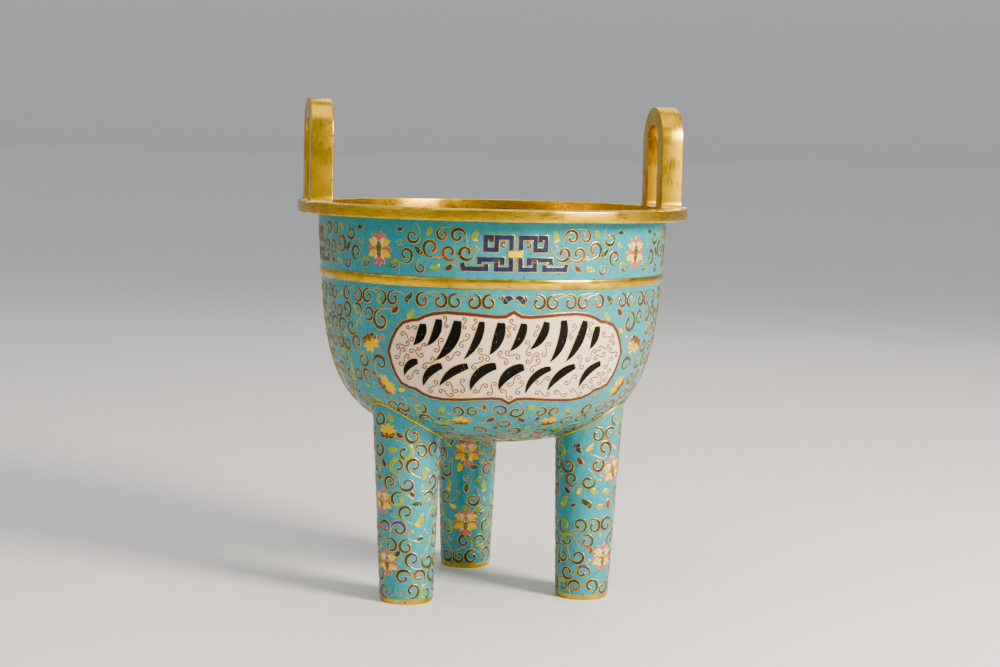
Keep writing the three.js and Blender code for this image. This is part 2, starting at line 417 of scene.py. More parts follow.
MOTTLE = 3.5 * MM  # where grains of glass melted unevenly
CLOUDS = 26 * MM  # slow drift of an enamel's tone and gloss
RIPPLE = 7 * MM  # waves that grinding left
RUBBING = 0.6 * MM  # burnishing marks of some 0.1 mm, drawn wider or they wouldn't show
THIN_PATCH = 17 * MM  # patches where the gilding is thin
FILM_SPOT = 2.2 * MM  # spots of brown film
CRUMB = 0.9 * MM  # crumbs of solder
TOOTH = 40 * MM  # slow unevenness of the floor


def new_material(name):
    """Starts a material, and gives its tree, its shader and the object coordinates."""
    material = bpy.data.materials.new(name)
    material.use_nodes = True
    tree = material.node_tree
    place = node(tree, "ShaderNodeTexCoord").outputs["Object"]
    return material, tree, tree.nodes["Principled BSDF"], place


def fired_enamel(name, colour, mottle=0.10, pits=0.5, roughness=0.24, pit="#1C1916", sheen=0.5, apart=3.4):
    """Opaque lead glass, fired in cells and ground flat. The eye sees a soft mottle of a few millimetres,
    where the grains melted unevenly, a low gloss with fine ripples, and burst bubbles as dark pinholes.
    Pits is the share of the bubbles that burst, and apart is how far apart they lie in millimetres."""
    material, tree, shader, place = new_material(name)
    grain = node(tree, "ShaderNodeTexNoise", {"Vector": place, "Scale": 1 / MOTTLE, "Detail": 4.0})
    clouds = node(tree, "ShaderNodeTexNoise", {"Vector": place, "Scale": 1 / CLOUDS, "Detail": 2.0})
    swing = 2.2 * mottle
    lighter = tuple(min(1.0, c * (1 + swing)) for c in colour)
    darker = tuple(c * (1 - swing) for c in colour)
    fine = node(tree, "ShaderNodeMapRange", {"Value": grain, "From Min": 0.3, "From Max": 0.7})
    mottled = node(tree, "ShaderNodeMix", {0: fine, 6: (*darker, 1), 7: (*lighter, 1)}, data_type="RGBA")
    wide = node(tree, "ShaderNodeMapRange", {"Value": clouds, "From Min": 0.35, "From Max": 0.7,
                                             "To Max": 0.28})
    greyed = tuple(0.75 * c + 0.02 for c in colour)
    drifted = node(tree, "ShaderNodeMix", {0: wide, 6: mottled.outputs[2], 7: (*greyed, 1)},
                   data_type="RGBA")
    bubbles = node(tree, "ShaderNodeTexVoronoi", {"Vector": place, "Scale": 1 / (apart * MM)})
    hole = node(tree, "ShaderNodeMapRange", {"Value": bubbles, "From Min": 0.09, "From Max": 0.14,
                                             "To Min": 1.0, "To Max": 0.0})
    chosen = node(tree, "ShaderNodeSeparateColor", {0: bubbles.outputs["Color"]})
    burst = node(tree, "ShaderNodeMath", {0: chosen, 1: pits}, operation="LESS_THAN")
    holes = node(tree, "ShaderNodeMath", {0: hole, 1: burst}, operation="MULTIPLY")
    pitted = node(tree, "ShaderNodeMix", {0: holes, 6: drifted.outputs[2], 7: (*linear(pit), 1)},
                  data_type="RGBA")
    gloss = node(tree, "ShaderNodeMapRange", {"Value": clouds, "From Min": 0.3, "From Max": 0.7,
                                              "To Min": roughness - 0.05, "To Max": roughness + 0.12})
    ripple = node(tree, "ShaderNodeTexNoise", {"Vector": place, "Scale": 1 / RIPPLE, "Detail": 2.0})
    surface = node(tree, "ShaderNodeMath", {0: holes, 1: -0.8, 2: ripple}, operation="MULTIPLY_ADD")
    bump = node(tree, "ShaderNodeBump", {"Strength": 0.35, "Distance": 0.12 * MM, "Height": surface})
    give(tree, shader, {"Base Color": pitted.outputs[2], "Roughness": gloss, "Normal": bump, "IOR": 1.52,
                        "Specular IOR Level": sheen})
    return material


def fire_gilt(name, streaks, roughness=0.26, clean="gold"):
    """Bronze or copper, mercury gilt and burnished with a stone. The eye sees warm gold with fine rubbing
    marks, brown where the gilding is thin, and a dull film in patches of a centimetre or two."""
    colours = bpy.context.scene.burner_gilt
    material, tree, shader, place = new_material(name)
    scaled = node(tree, "ShaderNodeVectorMath", {0: streaks(tree, place), "Scale": 1 / RUBBING},
                  operation="SCALE")
    marks = node(tree, "ShaderNodeTexNoise", {"Vector": scaled, "Scale": 1.0, "Detail": 3.0,
                                              "Roughness": 0.6})
    patches = node(tree, "ShaderNodeTexNoise", {"Vector": place, "Scale": 1 / THIN_PATCH, "Detail": 5.0,
                                                "Roughness": 0.62})
    spots = node(tree, "ShaderNodeTexNoise", {"Vector": place, "Scale": 1 / FILM_SPOT, "Detail": 3.0})
    thin = node(tree, "ShaderNodeMapRange", {"Value": patches, "From Min": 0.46, "From Max": 0.68,
                                             "To Max": 0.7})
    rubbed = node(tree, "ShaderNodeMapRange", {"Value": marks, "From Min": 0.42, "From Max": 0.72,
                                               "To Max": 0.8})
    wear = node(tree, "ShaderNodeMath", {0: thin, 1: rubbed}, operation="MAXIMUM")
    metal = node(tree, "ShaderNodeMix", {0: wear, 6: (*getattr(colours, clean), 1), 7: (*colours.worn, 1)},
                 data_type="RGBA")
    film = node(tree, "ShaderNodeMapRange", {"Value": spots, "From Min": 0.66, "From Max": 0.76,
                                             "To Max": 0.6})
    stained = node(tree, "ShaderNodeMix", {0: film, 6: metal.outputs[2], 7: (*colours.tarnish, 1)},
                   data_type="RGBA")
    dull = node(tree, "ShaderNodeMapRange", {"Value": patches, "From Min": 0.35, "From Max": 0.7,
                                             "To Min": roughness - 0.06, "To Max": roughness + 0.16})
    bump = node(tree, "ShaderNodeBump", {"Strength": 0.5, "Distance": 0.05 * MM, "Height": marks})
    give(tree, shader, {"Base Color": stained.outputs[2], "Metallic": 1.0, "Roughness": dull,
                        "Normal": bump})
    return material


def round_streaks(tree, place):
    """Coordinates that run slowly round the upright axis and quickly across, for marks left by turning."""
    parts = node(tree, "ShaderNodeSeparateXYZ", {0: place})
    level = node(tree, "ShaderNodeCombineXYZ", {"X": parts.outputs["X"], "Y": parts.outputs["Y"]})
    radius = node(tree, "ShaderNodeVectorMath", {0: level}, operation="LENGTH")
    way = node(tree, "ShaderNodeVectorMath", {0: level}, operation="NORMALIZE")
    slow = node(tree, "ShaderNodeVectorMath", {0: way, "Scale": 9 * MM}, operation="SCALE")
    across = node(tree, "ShaderNodeMath", {0: radius.outputs["Value"], 1: 1.7, 2: parts.outputs["Z"]},
                  operation="MULTIPLY_ADD")
    lifted = node(tree, "ShaderNodeCombineXYZ", {"Z": across})
    return node(tree, "ShaderNodeVectorMath", {0: slow, 1: lifted}, operation="ADD")


def strap_streaks(tree, place):
    """Coordinates that run slowly along a handle's strap, from its UV map, for marks left by rubbing."""
    along = node(tree, "ShaderNodeUVMap", uv_map="strap")
    return node(tree, "ShaderNodeVectorMath", {0: along, 1: (0.06, 1.0, 1.0)}, operation="MULTIPLY")


def plain_streaks(tree, place):
    """Coordinates without a direction, for wires."""
    return place


def solder(name):
    """Soft solder and flux left at a joint. The eye sees dull grey-white crumbs with a blue cast."""
    material, tree, shader, place = new_material(name)
    crumbs = node(tree, "ShaderNodeTexNoise", {"Vector": place, "Scale": 1 / CRUMB, "Detail": 4.0})
    share = node(tree, "ShaderNodeMapRange", {"Value": crumbs, "From Min": 0.35, "From Max": 0.65})
    mixed = node(tree, "ShaderNodeMix", {0: share, 6: (*linear("#6E6A5E"), 1), 7: (*linear("#C8D0CE"), 1)},
                 data_type="RGBA")
    bump = node(tree, "ShaderNodeBump", {"Strength": 0.8, "Distance": 0.25 * MM, "Height": crumbs})
    give(tree, shader, {"Base Color": mixed.outputs[2], "Roughness": 0.75, "Normal": bump})
    return material


def plaster(name, colour):
    """Matt painted board for the floor. The eye sees an even pale ground with a faint tooth."""
    material, tree, shader, place = new_material(name)
    tooth = node(tree, "ShaderNodeTexNoise", {"Vector": place, "Scale": 1 / TOOTH, "Detail": 6.0})
    share = node(tree, "ShaderNodeMapRange", {"Value": tooth, "To Max": 0.06})
    shade = tuple(c * 0.8 for c in colour)
    mixed = node(tree, "ShaderNodeMix", {0: share, 6: (*colour, 1), 7: (*shade, 1)}, data_type="RGBA")
    give(tree, shader, {"Base Color": mixed.outputs[2], "Roughness": 0.7})
    return material


def material_once(name, make, *values, **settings):
    """The material of that name, made on its first use."""
    return bpy.data.materials.get(name) or make(name, *values, **settings)


def turned_gilt():
    return material_once("fire_gilt_turned", fire_gilt, round_streaks)


def wire_gilt():
    return material_once("gilt_copper_wire", fire_gilt, plain_streaks, roughness=0.34, clean="wire")


# How an enamel differs from the usual one.
ENAMEL_SETTINGS = {
    "turquoise": {"mottle": 0.06, "pits": 0.42}, "white": {"mottle": 0.04, "pits": 0.25},
    "black": {"mottle": 0.3, "pits": 0.7, "roughness": 0.42, "pit": "#857C6E", "sheen": 0.15, "apart": 2.5},
    **{dark: {"mottle": 0.2} for dark in ("brown", "dark_green", "violet", "purple")}}


def enamel_of(kind):
    """The enamel of a fill, by its name."""
    colour = tuple(getattr(bpy.context.scene.burner_enamel, kind))
    return material_once("fired_enamel_" + kind, fired_enamel, colour, **ENAMEL_SETTINGS.get(kind, {}))


def fill_materials():
    """One material for each number of FILLS."""
    dull = material_once("dull_copper_wire", fire_gilt, plain_streaks, roughness=0.5, clean="worn")
    return [wire_gilt(), dull, wire_gilt(), wire_gilt()] + [enamel_of(kind) for kind in FILLS[VIOLET:]]


# Inlay. Cells and wires are drawn flat, x to the right and y upwards, and later laid on a turned surface.

WIRE_SINK = 0.03 * MM  # how far a wire's edges lie under the ground's surface
OVERLAP = 0.006 * MM  # how far each cell of a motif lies over the one before it
SHARPEST = 0.6  # cosine of half the bend up to which a strip keeps its width at a corner


def polar(angle, radius):
    """The point at a radius, by an angle from the right, anticlockwise."""
    return Vector((math.cos(angle), math.sin(angle))) * radius


def rising(degrees, reach):
    """The point at a reach, by an angle in degrees from straight up, clockwise."""
    way = math.radians(degrees)
    return Vector((math.sin(way), math.cos(way))) * reach


def bent_path(start, reach, steps, heading_at, half_at):
    """A path of equal steps and its half widths. Both its heading, in degrees from straight up, and its half
    width are functions of the share of the way."""
    path, halves, at = [], [], Vector(start)
    for i in range(steps + 1):
        t = i / steps
        path.append(at.copy())
        halves.append(half_at(t))
        at += rising(heading_at(t), reach) / steps
    return path, halves


def left_of(path, closed=False):
    """For each point of a path, the way to its left, longer at a corner so that a strip keeps its width."""
    ways = []
    last = len(path) - 1
    for i, point in enumerate(path):
        before = path[i - 1] if i or closed else None
        after = path[(i + 1) % len(path)] if i < last or closed else None
        sides = []
        for start, end in ((before, point), (point, after)):
            if start is not None and end is not None:
                along = (end - start).normalized()
                sides.append(Vector((-along.y, along.x)))
        way = sum(sides, Vector((0, 0))).normalized()
        ways.append(way / max(SHARPEST, way.dot(sides[0])))
    return ways


def stepped(corners, step, closed=False):
    """Points along a broken line, no further apart than step, with its corners kept."""
    points = []
    ends = corners[1:] + (corners[:1] if closed else [])
    for start, end in zip(corners, ends):
        count = max(1, math.ceil((end - start).length / step))
        points += [start.lerp(end, i / count) for i in range(count)]
    return points if closed else points + [corners[-1]]


def inside(outline, point, margin):
    """Whether a point lies inside a closed outline, at least margin from it."""
    crossings = 0
    for a, b in zip(outline, outline[1:] + outline[:1]):
        if (a.y > point.y) != (b.y > point.y) and point.x < a.x + (b.x - a.x) * (point.y - a.y) / (b.y - a.y):
            crossings += 1
    return crossings % 2 == 1 and min((p - point).length for p in outline) > margin


def clear(path, taken):
    """Whether every point of a path stays out of the room round each point taken."""
    return all((p - q).length > room for p in path for q, room in taken)


class Drawing:
    """Faces drawn flat, each with the number of its fill."""

    def __init__(self):
        sizes = bpy.context.scene.burner_enamel
        self.half_wire = sizes.wire_width / 2
        self.crest = sizes.wire_rise
        self.surface = sizes.cell_rise
        self.lift = 0.0
        self.vertices, self.faces, self.fills = [], [], []

    def strip(self, rows, fill, closed=False):
        """Faces between rows of points, each row running from left to right across the strip."""
        start, width = len(self.vertices), len(rows[0])
        self.vertices += [point for row in rows for point in row]
        for i in range(len(rows) - (0 if closed else 1)):
            a, b = start + i * width, start + (i + 1) % len(rows) * width
            for j in range(width - 1):
                self.faces.append((a + j, a + j + 1, b + j + 1, b + j))
                self.fills.append(fill)

    def wire(self, path, closed=False, share=1.0, fill=WIRE):
        """A wire along a path: a low ridge whose edges lie in the ground."""
        half = self.half_wire * share
        rows = []
        for point, way in zip(path, left_of(path, closed)):
            left, right = point + way * half, point - way * half
            rows.append([(*left, -WIRE_SINK), (*point, self.crest), (*right, -WIRE_SINK)])
        self.strip(rows, fill, closed)

    def cell(self, path, halves, fill, columns=1, tip=0.8, start_fill=None):
        """A cell along a path, with its half width at each point, and the wire round it. Its ends stand out
        by the share tip of their half width, and its first half can take a fill of its own."""
        level, crest = self.surface + self.lift, self.crest + self.lift
        rows, left, right = [], [], []
        for point, half, way in zip(path, halves, left_of(path)):
            a, b = point + way * half, point - way * half
            rows.append([(*a.lerp(b, j / columns), level) for j in range(columns + 1)])
            left.append((a, way))
            right.append((b, -way))
        change = 0 if start_fill is None else len(rows) // 2
        if change:
            self.strip(rows[:change + 1], start_fill)
        self.strip(rows[change:], fill)
        first = (path[0] - path[1]).normalized()
        last = (path[-1] - path[-2]).normalized()
        outline = [*left, (path[-1] + last * halves[-1] * tip, last), *right[::-1],
                   (path[0] + first * halves[0] * tip, first)]
        ridge = []
        for point, outwards in outline:
            outer, inner = point + outwards * self.half_wire, point - outwards * self.half_wire
            ridge.append([(*inner, -WIRE_SINK), (*point, crest), (*outer, -WIRE_SINK)])
        self.strip(ridge[::-1], WIRE, closed=True)
        self.lift += OVERLAP

    def petal(self, angle, base, reach, width, fill, bend=0.0, steps=6, columns=2):
        """A pointed petal that starts base away from the middle, at an angle in degrees from straight up.
        The lengths are in millimetres."""
        base, reach, width = base * MM, reach * MM, width * MM
        path, halves = [], []
        for i in range(steps + 1):
            t = i / steps
            path.append(rising(angle + bend * t * t, base + reach * t))
            halves.append(width / 2 * math.sin(math.pi * (0.10 + 0.88 * t)) ** 0.8)
        self.cell(path, halves, fill, columns=columns)

    def mesh(self, name, mirrored=False):
        """The drawing as a mesh, or its mirror image."""
        flip = -1 if mirrored else 1
        vertices = [(flip * x, y, z) for x, y, z in self.vertices]
        faces = [face[::-1] for face in self.faces] if mirrored else self.faces
        made = bpy.data.meshes.new(name)
        made.from_pydata(vertices, [], faces)
        made.attributes.new("fill", "INT", "FACE").data.foreach_set("value", self.fills)
        return made


# The motifs.


def scroll():
    """A C-scroll: a bulb that curls out to a broad sweep, thins to a tail and runs on as a plain wire."""
    drawing = Drawing()
    steps = 12
    path, halves = [], []
    for i in range(steps + 1):
        t = i / steps
        # The radius opens from 1.3 mm at the bulb to 4.2 mm, where the sweep is.
        opening = min(1.0, t / 0.60)
        radius = (1.3 + 2.9 * opening * opening * (3 - 2 * opening)) * MM
        path.append(polar(math.radians(30 + 355 * t ** 0.86), radius))
        # The bulb narrows to a neck, and the sweep swells and thins to the tail.
        body = 0.86 - 1.1 * t if t < 0.3 else 0.53 + 0.42 * math.sin(math.pi * (t - 0.3) / 0.7)
        halves.append((body - 0.20 * max(0.0, t - 0.7) / 0.3) * MM)
    drawing.cell(path, halves, OWN, start_fill=OWN_END)
    drawing.wire([polar(math.radians(385 + 15 * i), 4.2 + 0.24 * i * i) * MM for i in range(5)])
    return drawing


def bud():
    """A drop with a bent tip."""
    drawing = Drawing()
    drawing.petal(0, -2.3, 5.0, 2.9, OWN, bend=26, steps=5, columns=1)
    return drawing


def sprig():
    """A small curl of plain wire."""
    drawing = Drawing()
    drawing.wire([polar(math.radians(50 * i), 0.45 + 0.21 * i) * MM for i in range(11)], share=0.85)
    return drawing


def leaf():
    """A broad leaf curling to one side, with a lesser lobe at its foot."""
    drawing = Drawing()
    for turn, reach, width, bow, fill in ((-62, 5.2, 2.9, -40, OWN_END), (0, 9.4, 4.4, 70, OWN)):
        path, halves = bent_path(
            (0.0, -3.6 * MM), reach * MM, 7, lambda t: turn + bow * (t - 0.2),
            lambda t: width * MM / 2 * math.sin(math.pi * (0.07 + 0.9 * t)) ** 0.9)
        drawing.cell(path, halves, fill, columns=2)
    return drawing


def twin_leaf():
    """A leaf in two lobes, one of a pair that face each other."""
    drawing = Drawing()
    drawing.petal(62, -1.5, 5.4, 3.0, VIOLET, bend=-30)
    drawing.petal(-4, -1.5, 6.6, 3.8, VIOLET, bend=-55)
    return drawing


# Petals of a lotus from the front: angle from straight up, to both sides, then base, reach and width in
# millimetres, and enamel. Later ones lie over earlier ones.
LOTUS_PETALS = (
    (90, 2.6, 6.3, 3.4, PINK), (20, 3.0, 6.8, 3.2, PINK), (0, 3.0, 7.4, 3.6, PINK),
    (158, 3.0, 6.2, 3.0, PINK), (180, 3.0, 6.6, 3.0, PINK), (116, 2.2, 6.8, 3.9, YELLOW),
    (46, 2.2, 7.0, 3.9, YELLOW), (148, 1.6, 5.0, 2.8, WHITE), (22, 0.4, 7.4, 3.3, WHITE))


def lotus():
    """A lotus seen from the front: yellow, pink and white petals round a green heart."""
    drawing = Drawing()
    for angle, base, reach, width, fill in LOTUS_PETALS:
        for side in ((-1, 1) if 0 < angle < 180 else (1,)):
            drawing.petal(side * angle, base, reach, width, fill, bend=side * 12 * (angle < 90))
    drawing.petal(0, -1.6, 6.4, 3.9, DARK_GREEN)
    drawing.petal(180, 1.0, 3.8, 3.2, BRICK)
    return drawing


def half_lotus():
    """A lotus from the side: a fan of yellow petals on a red and brown calyx."""
    drawing = Drawing()
    for angle, reach, fill in ((78, 5.6, ORANGE), (52, 6.6, YELLOW), (26, 7.0, YELLOW), (0, 7.2, YELLOW)):
        for side in ((-1, 1) if angle else (1,)):
            drawing.petal(side * angle, 1.2, reach, 3.0, fill, bend=side * 18)
    for side in (-1, 1):
        drawing.petal(side * 125, 1.0, 5.0, 2.6, BROWN, bend=-side * 30)
    drawing.petal(180, -1.4, 5.0, 3.6, BRICK)
    return drawing


# Centre lines of the fret's bars to the right of its clasp, in millimetres from the clasp's middle.
FRET_BARS = (
    ((2.7, 2.4), (2.7, 9.6), (11.0, 9.6), (11.0, 2.6), (17.2, 2.6), (17.2, 9.6), (13.9, 9.6), (13.9, 6.9)),
    ((2.7, -1.8), (2.7, -8.4), (11.0, -8.4), (11.0, -3.0)),
    ((7.6, -6.0), (7.6, -3.0), (20.4, -3.0), (20.4, -5.8)),
    ((16.6, -5.6), (16.6, -8.4), (29.4, -8.4), (30.2, -5.2)),
)
FRET_HALF = 1.4 * MM  # half the width of a bar
FRET_STEP = 3.4 * MM  # the longest stretch between two points of a bar


def knot():
    """The fret: square hooks in two rows, mirrored about a yellow clasp on a double wire."""
    drawing = Drawing()
    for side in (-1, 1):
        for bar in FRET_BARS:
            path = stepped([Vector((side * x, y)) * MM for x, y in bar], FRET_STEP)
            drawing.cell(path, [FRET_HALF] * len(path), VIOLET, tip=0.0)
        for low, high in ((-9.2, -1.9), (1.9, 10.4)):
            line = [Vector((side * 0.55, low)) * MM, Vector((side * 0.55, high)) * MM]
            drawing.wire(stepped(line, FRET_STEP), share=0.8)
        curl = [Vector((side * (6.9 + 1.4 * math.cos(a)), 5.6 + 1.4 * math.sin(a))) * MM
                for a in (math.radians(-110 + 40 * i) for i in range(7))]
        drawing.cell(curl, [0.5 * MM] * 7, BRICK)
    clasp = stepped([Vector((-4.2, 0.2)) * MM, Vector((4.2, 0.2)) * MM], 2.6 * MM)
    drawing.cell(clasp, [1.75 * MM] * len(clasp), YELLOW, tip=0.0)
    return drawing


# The cartouche's outline from its top to its right end, in millimetres from its middle: a shoulder from the
# peak to a notch, then a lobe from the notch to the point at the end. The lower half is deeper.
SHOULDER = ((0, 25.8), (4.5, 23.2), (10, 22.9), (27, 24.2), (38, 24.6), (46, 23.6), (51.5, 21.8),
            (55.5, 19.7))
LOBE = ((55.5, 19.7), (60, 19.2), (65.5, 17.2), (69.6, 12.8), (72.6, 7.0), (74.9, 0.0))
LOWER_DEPTH = 1.16  # depth of the lower half at its shoulders against the upper one
SHOULDER_HEIGHT = 22  # height in millimetres from which the lower half takes that depth in full
OUTLINE_STEP = 2.6 * MM
BORDER = 1.0 * MM  # half the width of the red border
GROUND_RINGS = 24  # rings of faces that fill the white ground

# Rows of strokes in the cartouche: height of their tops, count, span, length and width in millimetres, and
# lean and bend in degrees.
STROKE_ROWS = ((21.4, 10, 122, 24.5, 6.2, 18, 46), (-6.6, 8, 128, 24.0, 5.8, 52, -66))
STROKE_MARGIN = 3.2 * MM  # room between a stroke and the border
INK_ROOM = 0.7 * MM  # room between a stroke and a tendril
TENDRIL_REACHES = (9.5, 7.0)  # length of a half tendril in millimetres, the longer ones first
TENDRIL_PITCH = (5.6, 4.8)  # steps across and up between the places tried, in millimetres
TENDRIL_ROOM = 1.2 * MM  # room between two tendrils
TENDRIL_MARGIN = 2.0 * MM  # room between a tendril and the border
HEADINGS = 6  # ways tried at each place


def cartouche_outline():
    """The middle of the cartouche's border, anticlockwise from its right end."""
    right = [Vector((x, y)) for x, y in SHOULDER[:-1] + LOBE][::-1]
    upper = right + [Vector((-p.x, p.y)) for p in right[::-1][1:]]
    lower = [Vector((-p.x, -p.y * (1 + (LOWER_DEPTH - 1) * min(1.0, abs(p.y) / SHOULDER_HEIGHT))))
             for p in upper[1:-1]]
    return stepped([p * MM for p in upper + lower], OUTLINE_STEP, closed=True)


def tendril(middle, heading, hand, reach):
    """A fine wire that curls up at both ends, one way and the other, bending more along each half."""
    steps, turning = 13, math.radians(370)
    half = [Vector((0, 0))]
    for i in range(steps):
        start, end = (i / steps) ** 0.7, ((i + 1) / steps) ** 0.7
        way = heading + hand * turning * ((start + end) / 2) ** 2
        half.append(half[-1] + polar(way, end - start) * reach)
    return [middle - p for p in half[:0:-1]] + [middle + p for p in half]


def cartouche_strokes(drawing, outline, chance):
    """Draws strokes of a broad pen, cut at the top and bending down to a thin end, each made shorter until it
    fits. Gives their points with the room to keep round each."""
    inked = []
    for high, count, span, reach, width, lean, bend in STROKE_ROWS:
        for i in range(count):
            x = span * ((i + 0.5) / count - 0.5) + chance.uniform(-1.5, 1.5)
            tilt, curve = lean + chance.uniform(-7, 7), bend * chance.uniform(0.7, 1.25)
            top, share = high + chance.uniform(-1.5, 1.5), chance.uniform(0.85, 1.12)
            size = width * chance.uniform(0.8, 1.12) * MM
            while share > 0.3:
                stroke, halves = bent_path(
                    (x * MM, top * MM), reach * share * MM, 9, lambda t: 180 + tilt + curve * (t - 0.35),
                    lambda t: size / 2 * (0.66 + 1.6 * t - 2.2 * t * t))
                if all(inside(outline, p, STROKE_MARGIN) for p in stroke):
                    drawing.cell(stroke, halves, BLACK, columns=2, tip=0.3)
                    inked += [(p, half + INK_ROOM) for p, half in zip(stroke, halves)]
                    break
                share -= 0.08
                top *= 0.96
                x *= 0.99
    return inked


def cartouche_tendrils(drawing, outline, chance, inked):
    """Draws tendrils wherever the strokes and the earlier tendrils leave room."""
    across, up = TENDRIL_PITCH
    taken = []
    for reach in TENDRIL_REACHES:
        for row, column in ((row, column) for row in range(-6, 7) for column in range(-13, 14)):
            middle = Vector((column * across + across / 2 * (row % 2) + chance.uniform(-1, 1),
                             row * up + chance.uniform(-1, 1))) * MM
            heading, hand = chance.uniform(0, math.pi), chance.choice((-1, 1))
            if not inside(outline, middle, 2 * TENDRIL_MARGIN) or not clear([middle], inked):
                continue
            for k in range(HEADINGS):
                path = tendril(middle, heading + k * math.pi / HEADINGS, hand, reach * MM)
                if (all(inside(outline, p, TENDRIL_MARGIN) for p in path[::2]) and clear(path[::2], inked)
                        and clear(path[::2], taken)):
                    taken += [(p, TENDRIL_ROOM) for p in path]
                    drawing.wire(path, share=1.65, fill=DULL_WIRE)
                    break


def cartouche():
    """A lobed panel: white ground, red border, rows of black strokes, and fine curled wires between them."""
    chance = random.Random(PANEL_SEED)
    drawing = Drawing()
    outline = cartouche_outline()
    level = 0.6 * drawing.surface
    for k in range(GROUND_RINGS):
        inner, outer = k / GROUND_RINGS, (k + 1) / GROUND_RINGS
        rows = [[(*(p * inner), level), (*(p * outer), level)] for p in outline]
        drawing.strip(rows[::-1], WHITE, closed=True)
    ways = left_of(outline, closed=True)
    level = drawing.surface + 2 * OVERLAP
    drawing.strip([[(*(p + w * BORDER), level), (*(p - w * BORDER), level)] for p, w in zip(outline, ways)],
                  BRICK, closed=True)
    for side in (-1, 1):
        drawing.wire([p + w * BORDER * side for p, w in zip(outline, ways)], closed=True)
    drawing.lift = 2 * OVERLAP
    inked = cartouche_strokes(drawing, outline, chance)
    cartouche_tendrils(drawing, outline, chance, inked)
    return drawing


MOTIFS = (scroll, bud, sprig, leaf, twin_leaf, lotus, half_lotus, knot, cartouche)
TWO_HANDED = ("scroll", "leaf", "bud", "twin_leaf", "sprig")
MIRROR = {name: name + "_back" for name in TWO_HANDED}
MIRROR.update({back: name for name, back in MIRROR.items()})


def motif_collection():
    """All motifs as flat objects in one collection, which is never shown."""
    held = bpy.data.collections.new("motifs")
    for draw in MOTIFS:
        name, drawing = draw.__name__, draw()
        held.objects.link(bpy.data.objects.new(name, drawing.mesh(name)))
        if name in TWO_HANDED:
            back = MIRROR[name]
            held.objects.link(bpy.data.objects.new(back, drawing.mesh(back, mirrored=True)))
    return held


# Laying the motifs on the turned surfaces.


